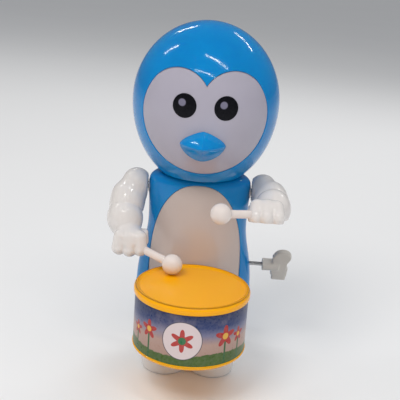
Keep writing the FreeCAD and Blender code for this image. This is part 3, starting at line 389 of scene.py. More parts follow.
def net(field, low, high, step):
    """The zero surface of field(points) as quads: one point in each cell that the surface crosses."""
    axes = [np.arange(a - 1.5 * step, b + 1.5 * step, step) for a, b in zip(low, high)]
    points = np.stack(np.meshgrid(*axes, indexing="ij"), -1)
    value = field(points)
    inside = value < 0
    size = np.array(value.shape) - 1
    crossings = np.zeros((*size, 3))
    count = np.zeros(size)
    corners = [(i, j, k) for i in (0, 1) for j in (0, 1) for k in (0, 1)]
    for axis in range(3):
        for start in corners:
            if start[axis]:
                continue
            end = tuple(c + (1 if n == axis else 0) for n, c in enumerate(start))
            first = tuple(slice(c, c + s) for c, s in zip(start, size))
            last = tuple(slice(c, c + s) for c, s in zip(end, size))
            change = inside[first] != inside[last]
            gap = value[first] - value[last]
            share = np.where(change, value[first] / np.where(gap == 0, 1, gap), 0)
            for n in range(3):
                place = start[n] + (share if n == axis else 0)
                crossings[..., n] += np.where(change, place, 0)
            count += change
    used = count > 0
    index = -np.ones(size, dtype=int)
    index[used] = np.arange(used.sum())
    cells = np.argwhere(used)
    verts = np.array([a[0] for a in axes]) + (cells + crossings[used] / count[used][:, None]) * step
    faces = []
    for axis in range(3):
        one, two = [n for n in range(3) if n != axis]
        ahead = [slice(None)] * 3
        here = [slice(None)] * 3
        here[axis], ahead[axis] = slice(0, -1), slice(1, None)
        change = inside[tuple(here)] != inside[tuple(ahead)]
        for cell in np.argwhere(change):
            if cell[one] == 0 or cell[two] == 0 or cell[one] > size[one] - 1 or cell[two] > size[two] - 1:
                continue
            around = []
            for a, b in ((0, 0), (1, 0), (1, 1), (0, 1)):
                spot = cell.copy()
                spot[one] -= a
                spot[two] -= b
                around.append(index[tuple(spot)])
            faces.append(tuple(around))
    for _ in range(3):
        verts = verts - pull(field, verts)
    return verts, faces


def pull(field, points, small=0.02):
    """How far and which way each point is off the field's zero surface."""
    value = field(points)
    slope = np.zeros_like(points)
    for n in range(3):
        shift = np.zeros(3)
        shift[n] = small
        slope[:, n] = (field(points + shift) - field(points - shift)) / (2 * small)
    length = np.maximum((slope**2).sum(1), 0.05)
    return slope * np.clip(value / length, -0.3, 0.3)[:, None]


def blob(points, centre, radii):
    """Signed distance, near enough, to an oval."""
    scaled = (points - np.array(centre, dtype=float)) / np.array(radii, dtype=float)
    size = np.linalg.norm(scaled, axis=-1)
    slope = np.linalg.norm(scaled / np.array(radii, dtype=float), axis=-1)
    return size * (size - 1) / np.maximum(slope, 1e-6)


def merge(first, second, blend):
    """Smooth union of two distances."""
    share = np.clip(0.5 + 0.5 * (second - first) / blend, 0, 1)
    return second * (1 - share) + first * share - blend * share * (1 - share)


def keep(first, second, blend):
    """Smooth intersection of two distances."""
    return -merge(-first, -second, blend)


def rod(points, start, end, radius_start, radius_end):
    """Distance to a rounded rod from start to end."""
    start, end = np.array(start, dtype=float), np.array(end, dtype=float)
    run = end - start
    share = np.clip(((points - start) @ run) / (run @ run), 0, 1)
    away = np.linalg.norm(points - start - share[..., None] * run, axis=-1)
    return away - radius_start - share * (radius_end - radius_start)


# ----------------------------------------------------------------------------- head
HEAD_LOW, HEAD_HIGH = limits("head_rear_shell")
HEAD_RADIUS = (HEAD_HIGH[0] - HEAD_LOW[0]) / 2
HEAD_RISE = 46.8  # from the head's widest level to its crown
HEAD_DROP = 53.0  # half height of the oval below that level, which the neck cuts short
HEAD_LEVEL = HEAD_HIGH[2] - HEAD_RISE
NECK_Z = HEAD_LOW[2]
CHIN = 35.6  # from the face's level down to the chin of the outline
FACE_LIP = 2.2  # how far the CAD's face plate runs on below the chin
FACE_LEVEL = limits("face_plate")[0][2] + CHIN + FACE_LIP


def on_head(unit, depth=0.0):
    """Points of the head's surface for unit directions, sunk by depth."""
    unit = np.asarray(unit, dtype=float)
    tall = np.where(unit[..., 2] > 0, HEAD_RISE, HEAD_DROP) - depth
    across = HEAD_RADIUS - depth
    return np.stack([unit[..., 0] * across, unit[..., 1] * across, HEAD_LEVEL + unit[..., 2] * tall], -1)


def head_direction(x, z):
    """The unit direction of the head's front at x, z."""
    x, z = np.asarray(x, dtype=float), np.asarray(z, dtype=float)
    right = x / HEAD_RADIUS
    up = (z - HEAD_LEVEL) / np.where(z > HEAD_LEVEL, HEAD_RISE, HEAD_DROP)
    return np.stack([right, -np.sqrt(np.maximum(1 - right**2 - up**2, 0)), up], -1)


def turn_between(first, second, share):
    """Points on the great circle from first to second; share may be past 0 or 1."""
    angle = np.arccos(np.clip((first * second).sum(-1), -1, 1))[..., None]
    between = np.sin((1 - share) * angle) * first + np.sin(share * angle) * second
    return between / np.maximum(np.sin(angle), 1e-9)


def heart_line(count=720):
    """The face's outline as (x, z), anticlockwise from the notch at the top."""
    lobe_x, lobe, rise = 15.2, 17.6, 8.0
    chin = CHIN
    reach = chin - lobe_x
    cheek = (reach**2 + rise**2 - lobe**2) / (2 * (reach - lobe))
    cheek_x = chin - cheek
    lean = math.atan2(rise, lobe_x - cheek_x)
    notch_turn = math.atan2(math.sqrt(lobe**2 - lobe_x**2), -lobe_x)
    arcs = (
        (lobe_x, rise, lobe, notch_turn, lean),
        (cheek_x, 0.0, cheek, lean, 0.0),
        (0.0, 0.0, chin, 0.0, -math.pi / 2),
    )
    half = []
    for x, z, radius, start, end in arcs:
        steps = max(8, int(count / 2 * radius * abs(end - start) / 110))
        for turn in np.linspace(start, end, steps, endpoint=False):
            half.append((x + radius * math.cos(turn), FACE_LEVEL + z + radius * math.sin(turn)))
    half.append((0.0, FACE_LEVEL - chin))
    left = [(-x, z) for x, z in half[1:-1]]
    return np.array(half + left[::-1])


def shrunk(start, line, slip):
    """The outline moved by slip millimetres from the patch's middle along the head."""
    angle = np.arccos(np.clip((start * line).sum(-1), -1, 1))[..., None]
    share = 1 + (slip / HEAD_RADIUS) / np.maximum(angle, 1e-6)
    return turn_between(np.broadcast_to(start, line.shape), line, share)


def build_head():
    """The face plate, the shell in front with the face's opening, the shell behind, eyes and beak."""
    line = heart_line()
    edge = head_direction(line[:, 0], line[:, 1])
    count = len(edge)
    middle = head_direction(np.array(0.0), np.array(FACE_LEVEL + 2.0))

    sunk = 0.3
    inner = np.broadcast_to(middle, edge.shape)
    rings = [on_head(turn_between(inner, edge, v), sunk) for v in np.linspace(0.004, 0.985, 56)]
    rounded_edge = ((-0.55, 0.0), (-0.36, 0.02), (-0.24, 0.10), (-0.17, 0.24), (-0.14, 0.5), (-0.14, 1.5))
    for slip, depth in rounded_edge:
        rings.append(on_head(shrunk(middle, edge, slip), sunk + depth))
    points = np.concatenate(rings)
    faces = grid_faces(len(rings), count, True)
    faces.append(tuple(range(count)))
    make("face_plate_skin", points, faces, FACE, "head", ["face_plate"])

    flat = np.stack([edge[:, 0], np.zeros(count), edge[:, 2]], -1)
    flat /= np.linalg.norm(flat, axis=-1, keepdims=True)
    rings = []
    for slip, depth in ((0.0, 1.5), (0.0, 0.32), (0.03, 0.16), (0.12, 0.05), (0.26, 0.0)):
        rings.append(on_head(shrunk(middle, edge, slip), depth))
    start = shrunk(middle, edge, 0.4)
    for v in np.linspace(0.0, 1.0, 40):
        rings.append(on_head(turn_between(start, flat, v * 0.995)))
    for depth, back in ((0.05, 0.1), (0.12, 0.04), (0.4, 0.03)):
        ring = on_head(flat, depth)
        ring[:, 1] = -back
        rings.append(ring)
    head_half("head_front_skin", rings, count, "head_front_shell")

    turns = np.linspace(0, 2 * math.pi, 256, endpoint=False)
    rim = np.stack([np.cos(turns), np.zeros(256), np.sin(turns)], -1)
    pole = np.broadcast_to(np.array([0.0, 1.0, 0.0]), rim.shape)
    rings = []
    for depth, back in ((0.4, 0.03), (0.12, 0.04), (0.05, 0.1)):
        ring = on_head(rim, depth)
        ring[:, 1] = back
        rings.append(ring)
    rings += [on_head(turn_between(rim, pole, v)) for v in np.linspace(0.005, 0.995, 60)]
    head_half("head_rear_skin", rings, 256, "head_rear_shell", closed_end=True)
    build_eyes()
    build_beak()


def head_half(name, rings, count, node, closed_end=False):
    """Half of the head's shell, cut flat at the neck with a wall's thickness showing there."""
    faces = grid_faces(len(rings), count, True)
    points = np.concatenate(rings)
    if closed_end:
        faces.append(tuple(range((len(rings) - 1) * count, len(rings) * count)))
    piece = make(name, points, faces, BLUE, "head", [node])
    build = bmesh.new()
    build.from_mesh(piece.data)
    everything = build.verts[:] + build.edges[:] + build.faces[:]
    floor = NECK_Z * MM
    cut = {"plane_co": (0, 0, floor), "plane_no": (0, 0, -1)}
    bmesh.ops.bisect_plane(build, geom=everything, clear_outer=True, **cut)
    edges = [e for e in build.edges if e.is_boundary and all(abs(v.co.z - floor) < 1e-6 for v in e.verts)]
    for inward, rise in ((0.0017, 0.0), (0.0, 0.0045)):
        made = bmesh.ops.extrude_edge_only(build, edges=edges)["geom"]
        edges = [g for g in made if isinstance(g, bmesh.types.BMEdge)]
        for vert in {v for e in edges for v in e.verts}:
            flat = Vector((vert.co.x, vert.co.y, 0))
            vert.co -= flat.normalized() * inward
            vert.co.z += rise
    build.to_mesh(piece.data)
    build.free()
    piece.data.set_sharp_from_angle(angle=math.radians(50))


def build_eyes():
    """Two round prints that lie on the face's curve."""
    for word in SIDES:
        low, high = limits(f"{word}_eye_sticker")
        x, z = (low[0] + high[0]) / 2, (low[2] + high[2]) / 2
        radius = (high[0] - low[0]) / 2
        rings = []
        turns = np.linspace(0, 2 * math.pi, 96, endpoint=False)
        steps = ((0.02, 0.16), (0.3, 0.16), (0.6, 0.16), (0.9, 0.16), (0.97, 0.14), (1.0, 0.06), (1.0, -0.3))
        for share, lift in steps:
            across = x + share * radius * np.cos(turns)
            up = z + share * radius * 1.03 * np.sin(turns)
            rings.append(on_head(head_direction(across, up), 0.3 - lift))
        points = np.concatenate(rings)
        faces = grid_faces(len(rings), 96, True)
        faces.append(tuple(range(96)))
        centre = (x, points[0][1], z)
        node = f"{word}_eye_sticker"
        make(f"{word}_eye_print", points, faces, EYE, "head", [node], origin=centre)


def build_beak():
    """A soft four-cornered beak: its top edge dips to the corners, its ridge runs between them."""
    low, high = limits("beak")
    wide = (high[0] - low[0]) / 2
    mid_z = low[2] + 10.2
    top, bottom = mid_z + 8.4, low[2]
    tip = np.array([0.0, low[1], mid_z + 0.6])
    count = 240
    turns = np.linspace(0, 2 * math.pi, count, endpoint=False)
    cos, sin = np.cos(turns), np.sin(turns)
    upper = sin >= 0
    bend = np.where(upper, 1.55, 1.22)
    x = wide * np.sign(cos) * np.abs(cos) ** bend
    z = np.where(upper, (top - mid_z) * np.abs(sin) ** 1.3, -(mid_z - bottom) * np.abs(sin) ** 1.25)
    z = z + mid_z
    base = on_head(head_direction(x, z), 0.3)
    depth = base[:, 1].mean() - tip[1]
    ease = np.where(upper, 0.92 - 0.22 * np.abs(cos) ** 2, 1.18 - 0.46 * np.abs(cos) ** 3)
    rings = []
    for v in np.concatenate([[0.01], np.linspace(0.05, 0.94, 30), [0.965, 0.985, 1.0]]):
        rise = 1 - np.sqrt(v * v + 0.012) + (math.sqrt(1.012) - 1)
        rise = np.clip(rise, 0, 1) ** ease
        across = base[:, 0] * v
        up = tip[2] + (base[:, 2] - tip[2]) * v
        under = on_head(head_direction(across, up), 0.3)
        rings.append(np.stack([across, under[:, 1] - depth * rise * (1 - 0.06 * np.abs(cos)), up], -1))
    rings.append(base + np.array([0, 0.8, 0]))
    points = np.concatenate(rings)
    points[:, 1] = np.maximum(points[:, 1], low[1])
    faces = grid_faces(len(rings), count, True)
    faces.append(tuple(range(count)))
    make("beak_skin", points, faces, BLUE, "head", ["beak"])


# ----------------------------------------------------------------------------- body
# Height, half width and half depth of the shell from the floor of the body up.
STATIONS = np.array(
    [
        (27.0, 35.2, 19.4),
        (34.0, 36.2, 20.2),
        (46.0, 36.0, 20.5),
        (58.0, 35.0, 20.6),
        (70.0, 32.7, 20.8),
        (82.0, 30.7, 21.0),
        (94.0, 30.6, 21.0),
        (104.0, 31.0, 20.6),
        (111.0, 31.0, 20.0),
        (114.6, 29.6, 19.2),
        (116.8, 26.6, 17.8),
    ]
)
BODY_LOW, BODY_HIGH = limits("body_rear_shell")
BODY_FLOOR = BODY_LOW[2]
BODY_TOP = BODY_FLOOR + STATIONS[-1][0] - STATIONS[0][0]
BELLY_TOP = limits("belly_plate")[1][2] - 1.9


def curve_through(heights, values, at):
    """A smooth curve through the stations (a natural cubic spline)."""
    gaps = np.diff(heights)
    size = len(heights)
    matrix, right = np.eye(size), np.zeros(size)
    for n in range(1, size - 1):
        matrix[n, n - 1 : n + 2] = gaps[n - 1], 2 * (gaps[n - 1] + gaps[n]), gaps[n]
        right[n] = 6 * ((values[n + 1] - values[n]) / gaps[n] - (values[n] - values[n - 1]) / gaps[n - 1])
    bend = np.linalg.solve(matrix, right)
    n = np.clip(np.searchsorted(heights, at) - 1, 0, size - 2)
    gap = gaps[n]
    a, b = (heights[n + 1] - at) / gap, (at - heights[n]) / gap
    return a * values[n] + b * values[n + 1] + ((a**3 - a) * bend[n] + (b**3 - b) * bend[n + 1]) * gap**2 / 6


def body_size(z, depth=0.0):
    """Half width and half depth at height z, with the bottom and top edges rounded."""
    z = np.asarray(z, dtype=float)
    heights = STATIONS[:, 0] - STATIONS[0][0] + BODY_FLOOR
    low = np.clip((z - BODY_FLOOR) / 3.0, 0, 1)
    high = np.clip((BODY_TOP - z) / 1.2, 0, 1)
    less = 3.0 * (1 - np.sqrt(1 - (1 - low) ** 2)) + 1.2 * (1 - np.sqrt(1 - (1 - high) ** 2)) + depth
    return (
        curve_through(heights, STATIONS[:, 1], z) - less,
        curve_through(heights, STATIONS[:, 2], z) - less,
    )


def on_body(turn, z, depth=0.0):
    """A point of the shell; turn is 0 at the front, and a quarter turn is the toy's left side."""
    wide, deep = body_size(z, depth)
    level = np.broadcast_to(z, np.shape(turn)) + 0.0 * wide
    return np.stack([wide * np.sin(turn), -deep * np.cos(turn), level], -1)


def belly_line(count=480, grow=0.0):
    """The belly's outline as (turn, z)."""
    wide, widest, top, drop, square = 28.4 + grow, BODY_FLOOR + 30.0, BELLY_TOP + grow, 20.0 + grow, 2.35
    turns = np.linspace(0, 2 * math.pi, count, endpoint=False)
    x = wide * np.sign(np.cos(turns)) * np.abs(np.cos(turns)) ** (2 / square)
    up = np.sign(np.sin(turns)) * np.abs(np.sin(turns)) ** (2 / square)
    z = widest + np.where(up > 0, (top - widest) * up, drop * up)
    return np.arcsin(np.clip(x / body_size(z)[0], -1, 1)), z


def build_body():
    """The belly plate, both shells, the collar under the head and the underside."""
    middle_z = BODY_FLOOR + 42.0
    turn, z = belly_line()
    count = len(turn)
    flat_scale = 32.0
    sunk = 0.3
    rings = []
    for v in np.linspace(0.01, 0.985, 46):
        rings.append(on_body(turn * v, middle_z + (z - middle_z) * v, sunk))
    length = np.hypot(turn * flat_scale, z - middle_z)
    for slip, depth in ((-0.5, 0.0), (-0.34, 0.03), (-0.22, 0.12), (-0.15, 0.3), (-0.13, 1.5)):
        v = 1 + slip / length
        rings.append(on_body(turn * v, middle_z + (z - middle_z) * v, sunk + depth))
    faces = grid_faces(len(rings), count, True)
    faces.append(tuple(range(count)))
    make("belly_skin", np.concatenate(rings), faces, BELLY, "toy_body", ["belly_plate"])

    angle = np.arctan2(z - middle_z, turn * flat_scale)
    far_side = (math.pi / 2) * flat_scale / np.maximum(np.abs(np.cos(angle)), 1e-6)
    room = np.where(np.sin(angle) > 0, BODY_TOP - middle_z, middle_z - BODY_FLOOR)
    far_end = room / np.maximum(np.abs(np.sin(angle)), 1e-6)
    reach = np.minimum(far_side, far_end)
    out_turn = reach * np.cos(angle) / flat_scale
    out_z = middle_z + reach * np.sin(angle)
    for corner_turn in (-math.pi / 2, math.pi / 2):
        for corner_z in (BODY_FLOOR, BODY_TOP):
            nearest = np.argmin((out_turn - corner_turn) ** 2 * flat_scale**2 + (out_z - corner_z) ** 2)
            out_turn[nearest], out_z[nearest] = corner_turn, corner_z
    rings = []
    for slip, depth in ((0.0, 1.5), (0.0, 0.3), (0.04, 0.13), (0.14, 0.03), (0.28, 0.0)):
        v = 1 + slip / length
        rings.append(on_body(turn * v, middle_z + (z - middle_z) * v, depth))
    start = 1 + 0.45 / length
    for v in np.linspace(0, 1, 46):
        inner_turn, inner_z = turn * start, middle_z + (z - middle_z) * start
        rings.append(on_body(inner_turn + (out_turn - inner_turn) * v, inner_z + (out_z - inner_z) * v))
    last = rings[-1]
    side_edge = np.abs(last[:, 1]) < 0.02
    for depth, back in ((0.12, 0.05), (0.5, 0.04)):
        ring = on_body(out_turn, out_z, depth)
        ring[:, 1] = np.where(side_edge, -back, ring[:, 1])
        ring = np.where(side_edge[:, None], ring, last)
        rings.append(ring)
    make(
        "body_front_skin",
        np.concatenate(rings),
        grid_faces(len(rings), count, True),
        BLUE,
        "toy_body",
        ["body_front_shell"],
        sharp=55,
    )

    wells = screw_spots()
    columns = np.linspace(math.pi / 2, 3 * math.pi / 2, 260)
    bottom_edge = np.linspace(BODY_FLOOR, BODY_FLOOR + 3, 14)
    top_edge = np.linspace(BODY_TOP - 1.2, BODY_TOP, 10)
    levels = np.unique(np.concatenate([bottom_edge, np.linspace(BODY_FLOOR, BODY_TOP, 200), top_edge]))
    rows = []
    for level in levels:
        row = on_body(columns, np.full(columns.shape, level))
        row[:, 1] = np.maximum(row[:, 1], 0.05)
        for x, well_z in wells:
            away = np.hypot(row[:, 0] - x, level - well_z)
            sink = np.clip((2.7 - away) / 0.45, 0, 1)
            row[:, 1] = row[:, 1] * (1 - sink) + np.minimum(row[:, 1], 6.3) * sink
        rows.append(row)
    make(
        "body_rear_skin",
        np.concatenate(rows),
        grid_faces(len(rows), len(columns), False),
        BLUE,
        "toy_body",
        ["body_rear_shell"],
        sharp=50,
    )

    turns = np.linspace(0, 2 * math.pi, 200, endpoint=False)
    neck_top = BODY_HIGH[2]
    collar = 18.0
    wide, deep = body_size(np.array(BODY_TOP))
    rings = []
    for share in np.linspace(0, 1, 8):
        across = (wide + (collar + 0.8 - wide) * share) * np.sin(turns)
        ahead = -(deep + (collar - 0.25 - deep) * share) * np.cos(turns)
        rings.append(np.stack([across, ahead, np.full(200, BODY_TOP - 0.02)], -1))
    collar_steps = (
        (collar, BODY_TOP + 0.25),
        (collar, neck_top - 0.4),
        (collar - 0.4, neck_top),
        (collar - 1.7, neck_top),
        (collar - 1.7, BODY_TOP - 2),
    )
    for radius, level in collar_steps:
        rings.append(np.stack([radius * np.sin(turns), -radius * np.cos(turns), np.full(200, level)], -1))
    faces = grid_faces(len(rings), 200, True)
    make("neck_collar", np.concatenate(rings), faces, BLUE, "toy_body", sharp=50)

    wide, deep = body_size(np.array(BODY_FLOOR))
    level = np.full(200, BODY_FLOOR + 0.01)
    rings = [
        np.stack([wide * share * np.sin(turns), -deep * share * np.cos(turns), level], -1)
        for share in (0.01, 0.4, 0.8, 1.0)
    ]
    faces = grid_faces(4, 200, True)
    faces.append(tuple(range(200)))
    make("body_underside", np.concatenate(rings), faces, INNER, "toy_body")


def screw_spots():
    """(x, z) of the shell screws, from the CAD screws' own box."""
    low, high = limits("shell_screws")
    head = 2.2
    upper_x = high[0] - head - 4.7
    return [
        (sign * x, z)
        for sign in (-1, 1)
        for x, z in ((high[0] - head, low[2] + head), (upper_x, high[2] - head))
    ]


# ----------------------------------------------------------------------------- feet and drum
def build_feet():
    """Two long rounded feet, open underneath."""
    for word in SIDES:
        low, high = limits(f"{word}_foot")
        centre = (low[0] + high[0]) / 2
        radius = (high[0] - low[0]) / 2
        front, back = low[1] + radius, high[1] - radius
        profile = rounded_profile(
            [
                (radius - 3.4, low[2], 0),
                (radius - 0.5, low[2], 1.4),
                (radius, low[2] + 6, 2.5),
                (radius, high[2] - 0.4, 0.6),
                (radius - 8, high[2], 0),
            ]
        )
        turns = np.linspace(0, 2 * math.pi, 144, endpoint=False)
        rows = []
        for size, z in [(radius - 3.4, low[2] + 3.0)] + [tuple(p) for p in profile]:
            shift = np.where(np.cos(turns) >= 0, back, front)
            across, along = centre + size * np.sin(turns), shift + size * np.cos(turns)
            rows.append(np.stack([across, along, np.full(144, z)], -1))
        points = np.concatenate(rows)
        faces = grid_faces(len(rows), 144, True) + [tuple(range(144))]
        make(f"{word}_foot_skin", points, faces, WHITE, "toy_body", [f"{word}_foot"])


DRUM_LOW, DRUM_HIGH = limits("drum_lid")
DRUM_AT = ((DRUM_LOW[0] + DRUM_HIGH[0]) / 2, (DRUM_LOW[1] + DRUM_HIGH[1]) / 2)
DRUM_RIM = (DRUM_HIGH[0] - DRUM_LOW[0]) / 2
DRUM_FLOOR = limits("drum_barrel")[0][2]
DRUM_TOP = DRUM_HIGH[2]
BAND_LOW, BAND_HIGH = limits("drum_label")
BAND_RADIUS = (BAND_HIGH[0] - BAND_LOW[0]) / 2


def build_drum():
    """The lid with its raised lip, the bottom hoop, and the printed band between them."""
    skin = DRUM_TOP - 1.1
    lid = rounded_profile(
        [
            (0.05, skin, 0),
            (DRUM_RIM - 3.3, skin, 0.7),
            (DRUM_RIM - 2.5, DRUM_TOP - 0.1, 0.6),
            (DRUM_RIM - 1.4, DRUM_TOP, 0.8),
            (DRUM_RIM, DRUM_TOP - 0.7, 1.5),
            (DRUM_RIM - 0.05, BAND_HIGH[2] + 0.4, 0.9),
            (DRUM_RIM - 1.2, BAND_HIGH[2] + 0.08, 0),
        ]
    )
    points, faces = lathe(lid, DRUM_AT, 240)
    make("drum_lid_skin", points, faces, AMBER, "toy_body", ["drum_lid"])
    hoop = rounded_profile(
        [
            (0.05, DRUM_FLOOR, 0),
            (BAND_RADIUS - 2.2, DRUM_FLOOR, 0.8),
            (BAND_RADIUS + 0.35, DRUM_FLOOR + 1.9, 1.2),
            (BAND_RADIUS + 0.4, BAND_LOW[2] - 0.15, 0.4),
            (BAND_RADIUS - 0.6, BAND_LOW[2], 0),
        ]
    )
    points, faces = lathe(hoop, DRUM_AT, 240)
    make("drum_hoop_skin", points, faces, AMBER, "toy_body", ["drum_barrel"])
    band = [(BAND_RADIUS - 0.5, BAND_LOW[2] - 0.05), (BAND_RADIUS, BAND_LOW[2] - 0.02)]
    band += [(BAND_RADIUS, z) for z in np.linspace(BAND_LOW[2] + 0.1, BAND_HIGH[2] - 0.1, 12)]
    band += [(BAND_RADIUS, BAND_HIGH[2] + 0.02), (BAND_RADIUS - 0.5, BAND_HIGH[2] + 0.05)]
    points, faces = lathe(band, DRUM_AT, 240)
    look = drum_print(BAND_RADIUS * MM, BAND_LOW[2] * MM, BAND_HIGH[2] * MM)
    place = (*DRUM_AT, 0)
    make("drum_band", points, faces, look, "toy_body", ["drum_label"], sharp=60, origin=place)


# ----------------------------------------------------------------------------- arms
def arm_field(points):
    """Distance to an arm drawn raised: out, ahead and up from the shoulder's pivot (out from the middle)."""
    shoulder = blob(points, (38.6, 0.5, 1.4), (9.2, 9.8, 10.2))
    upper_start = blob(points, (43.0, 8.5, -1.4), (10.6, 10.6, 11.4))
    upper_end = blob(points, (43.9, 15.5, -3.4), (10.2, 9.0, 11.4))
    sleeve = merge(shoulder, merge(upper_start, upper_end, 4.0), 2.6)
    elbow = blob(points, (43.9, 21.0, -3.2), (10.5, 11.2, 11.6))
    wrist = rod(points, (43.6, 24, -3.4), (40.0, 35.0, -3.2), 8.8, 7.2)
    forearm = merge(elbow, wrist, 5.0)
    cuff = 15.0 - points[..., 1] - 0.10 * points[..., 2] + 0.10 * (points[..., 0] - 44)
    forearm = keep(forearm, cuff, 0.7)
    arm = merge(sleeve, forearm, 0.35)
    fist = blob(points, (38.9, 37.4, -1.0), (9.9, 8.0, 7.8))
    for shift, reach in ((-6.3, -0.9), (0.0, 0.0), (6.3, -0.9)):
        knuckle = (38.9 + shift * 0.86, 37.6, 2.4)
        bend = (38.9 + shift, 43.8 + reach, -1.4)
        fingertip = (38.9 + shift * 0.96, 43.0 + reach, -7.6)
        finger = merge(rod(points, knuckle, bend, 4.4, 4.2), rod(points, bend, fingertip, 4.2, 3.9), 0.5)
        fist = merge(fist, finger, 0.9)
    thumb = blob(points, (31.0, 34.6, -2.4), (3.6, 5.2, 4.6))
    fist = merge(fist, thumb, 1.6)
    whole = merge(arm, fist, 2.6)
    sole = -(points[..., 2] + 13.5 - math.tan(math.radians(11.0)) * points[..., 1])
    inner_side = 31.6 - points[..., 0] - 0.12 * np.maximum(points[..., 1] - 8, 0)
    hollow = np.maximum(whole + 1.8, points[..., 1] - 29.0)
    whole = keep(keep(whole, sole, 0.5), inner_side, 0.8)
    boss = np.maximum(np.hypot(points[..., 1], points[..., 2]) - 4.2, np.abs(points[..., 0] - 39) - 7.3)
    return np.minimum(np.maximum(whole, -hollow), boss)


def swung(points, word):
    """Arm points moved from their raised drawing to where the CAD's arm rests."""
    pivot = joint_at(f"{word}_arm_swing")
    sign = SIDES[word]
    rise = joint_called(f"{word}_arm_swing")["range_deg"][1]
    turn = math.radians(max(rise, 0.0))
    y, z = -points[:, 1], points[:, 2]
    return np.stack(
        [
            sign * points[:, 0],
            pivot[1] + y * math.cos(turn) - z * math.sin(turn),
            pivot[2] + y * math.sin(turn) + z * math.cos(turn),
        ],
        -1,
    )


def build_arms():
    """Both arms with their sticks: the same drawing, mirrored, and turned down to where each one rests."""
    points, faces = net(arm_field, (26.5, -11.5, -19.0), (58.0, 50.5, 13.5), 0.5)
    stick_start = np.array([38.5, 39.5, -1.4])
    stick_end = np.array([12.8, 52.6, 1.2])
    ball = 6.0
    run = stick_end - stick_start
    length = np.linalg.norm(run)
    run = run / length
    join = math.asin(2.5 / ball)
    profile = [(0.02, 2.0), (2.3, 2.0), (2.32, 6.0), (2.4, length - ball - 2.5)]
    profile += [(2.5, length - ball * math.cos(join) - 0.4)]
    for turn in np.linspace(join, math.pi - 0.004, 44):
        profile.append((ball * math.sin(turn), length - ball * math.cos(turn)))
    turns = np.linspace(0, 2 * math.pi, 72, endpoint=False)
    side = np.cross(run, (0, 0, 1.0))
    side /= np.linalg.norm(side)
    over = np.cross(side, run)
    rows = [
        stick_start + run * along + radius * (np.cos(turns)[:, None] * side + np.sin(turns)[:, None] * over)
        for radius, along in profile
    ]
    stick_points, stick_faces = np.concatenate(rows), grid_faces(len(rows), 72, True)
    for word in SIDES:
        arm, stick = f"{word}_arm", f"{word}_drumstick"
        make(f"{word}_arm_skin", swung(points, word), faces, ARM, arm, [arm], sharp=42)
        placed = swung(stick_points, word)
        make(f"{word}_stick_skin", placed, stick_faces, STICK, arm, [stick])


# ----------------------------------------------------------------------------- key
def build_key():
    """The winding key: a hub on the shaft and two wings, the upper round and the lower squarer."""
    low, high = limits("key")
    centre = joint_at("key_turn")
    start, end = low[0], high[0]

    def key_field(points):
        """Distance to the key: along the shaft, across the wings' flat, and up the wings."""
        x, y, z = points[..., 0], points[..., 1], points[..., 2]
        ends = np.maximum(start - x, x - (start + 10.5))
        hub = keep(np.hypot(y, z) - (3.9 - 0.03 * (x - start)), ends, 0.7)
        upper = np.hypot(x - (end - 5.6), z - 8.9) - 5.5
        lower = np.maximum(np.abs(x - (end - 6.0)) - 4.6, np.abs(z + 8.6) - 5.6)
        waist = np.maximum(np.abs(x - (end - 6.6)) - 4.6, np.abs(z) - 8.2)
        flat = keep(merge(merge(upper, lower, 2.0), waist, 2.4), -(z + 14.2), 1.6)
        wings = keep(flat, np.abs(y) - (1.75 + 0.35 * np.exp(-((z / 4.0) ** 2))), 1.1)
        socket = np.maximum(np.hypot(y, z) - 1.3, x - (start + 9.0))
        return np.maximum(merge(hub, wings, 1.6), -socket)

    points, faces = net(key_field, (start - 0.5, -4.6, -15.0), (end + 0.5, 4.6, 15.0), 0.26)
    tilt = math.radians(32.0)
    y, z = points[:, 1], points[:, 2]
    placed = np.stack(
        [
            points[:, 0],
            centre[1] + y * math.cos(tilt) - z * math.sin(tilt),
            centre[2] + y * math.sin(tilt) + z * math.cos(tilt),
        ],
        -1,
    )
    make("key_skin", placed, faces, KEY, "winding", ["key"], sharp=45)


# ----------------------------------------------------------------------------- the hidden clockwork
def dress_clockwork():
    """The CAD's own motor pieces keep their shape, take their materials and get softened edges."""
    for entry in frame["record"]["subparts"]:
        look = SLOT_LOOK.get(entry["material_slot"])
        if look is None:
            continue
        piece = frame["nodes"][entry["node"]]
        piece.data.materials.clear()
        piece.data.materials.append(look)
        bevel = piece.modifiers.new("soft_edges", "BEVEL")
        bevel.width = 0.08 * MM
        bevel.segments = 1
        bevel.limit_method = "ANGLE"
        bevel.angle_limit = math.radians(40)


# ----------------------------------------------------------------------------- stage
def lamp(name, at, facing, size, power, colour=(1, 1, 1), shiny=True):
    """A rectangular area light; without shiny it lights the surfaces but isn't mirrored in them."""
    data = bpy.data.lights.new(name, "AREA")
    data.shape = "RECTANGLE"
    data.size, data.size_y = size
    data.energy = power
    data.color = colour
    light = bpy.data.objects.new(name, data)
    light.location = at
    light.rotation_euler = facing
    light.visible_glossy = shiny
    light.visible_camera = False
    bpy.context.scene.collection.objects.link(light)


def towards(at, target):
    """The rotation that turns a lamp at one place to face another."""
    return (Vector(target) - Vector(at)).to_track_quat("-Z", "Y").to_euler()


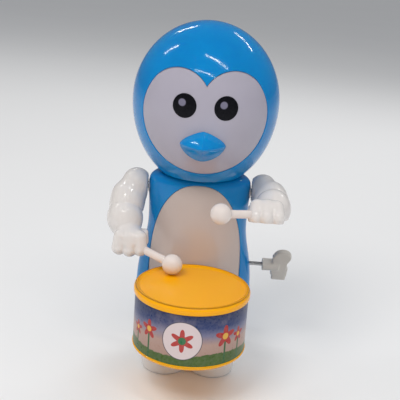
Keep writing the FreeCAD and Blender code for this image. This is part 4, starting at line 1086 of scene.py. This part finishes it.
def build_stage():
    """A pale floor, a plain world, three softboxes, ceiling tubes for the highlights, and the camera."""
    low, high = (Vector(corner) for corner in START_BOUNDS)
    middle = (low + high) / 2
    mesh = bpy.data.meshes.new("floor")
    build = bmesh.new()
    bmesh.ops.create_circle(build, cap_ends=True, segments=96, radius=9.0)
    build.to_mesh(mesh)
    build.free()
    floor = bpy.data.objects.new("floor", mesh)
    graph = Graph("floor_look")
    tone = graph.noise(3.0, detail=3.0)
    graph.set(Base_Color=graph.mix(tone, (0.78, 0.78, 0.79), (0.81, 0.81, 0.81)), Roughness=0.8)
    mesh.materials.append(graph.material)
    bpy.context.scene.collection.objects.link(floor)

    world = bpy.data.worlds.new("studio")
    world.use_nodes = True
    nodes, links = world.node_tree.nodes, world.node_tree.links
    background = nodes["Background"]
    background.inputs["Color"].default_value = (0.95, 0.97, 1.0, 1.0)
    seen = nodes.new("ShaderNodeMapRange")
    seen.inputs["To Min"].default_value = 0.46
    seen.inputs["To Max"].default_value = 0.16
    links.new(nodes.new("ShaderNodeLightPath").outputs["Is Glossy Ray"], seen.inputs["Value"])
    links.new(seen.outputs[0], background.inputs["Strength"])
    bpy.context.scene.world = world
    bpy.context.scene.view_settings.view_transform = "Standard"

    softboxes = (
        ("key_light", (-0.40, -0.60, 1.00), 0.45, 5.2, (1.0, 0.97, 0.93)),
        ("fill_light", (0.85, -0.60, 0.55), 0.60, 1.2, (0.92, 0.96, 1.0)),
        ("rim_light", (0.35, 0.80, 0.80), 0.40, 2.0, (1.0, 1.0, 1.0)),
    )
    for name, at, width, power, colour in softboxes:
        lamp(name, at, towards(at, middle), (width, width), power, colour, shiny=False)
    tubes = (
        (-0.80, 0.30, 0.50),
        (-0.40, 0.95, 0.45),
        (0.60, 0.75, 0.50),
        (0.20, -0.42, 0.60),
        (-0.05, -0.85, 0.70),
    )
    slant = (0.0, 0.0, math.radians(-24))
    for n, (x, y, length) in enumerate(tubes):
        lamp(f"ceiling_tube_{n}", (x, y, 0.95), slant, (length, 0.022), 1.3, (1.0, 0.99, 0.96))

    data = bpy.data.cameras.new("camera")
    data.sensor_width = 36.0
    data.lens = 73.6
    camera = bpy.data.objects.new("camera", data)
    camera.location = (0.0007, -0.4835, 0.245)
    downward, roll = math.radians(16.8), math.radians(4.16)
    camera.rotation_mode = "QUATERNION"
    ahead = Vector((0, math.cos(downward), -math.sin(downward)))
    camera.rotation_quaternion = ahead.to_track_quat("-Z", "Y") @ Quaternion((0, 0, 1), roll)
    bpy.context.scene.collection.objects.link(camera)
    bpy.context.scene.camera = camera


EYE = eye_print()
build_head()
build_body()
build_feet()
build_drum()
build_arms()
build_key()
dress_clockwork()
build_stage()
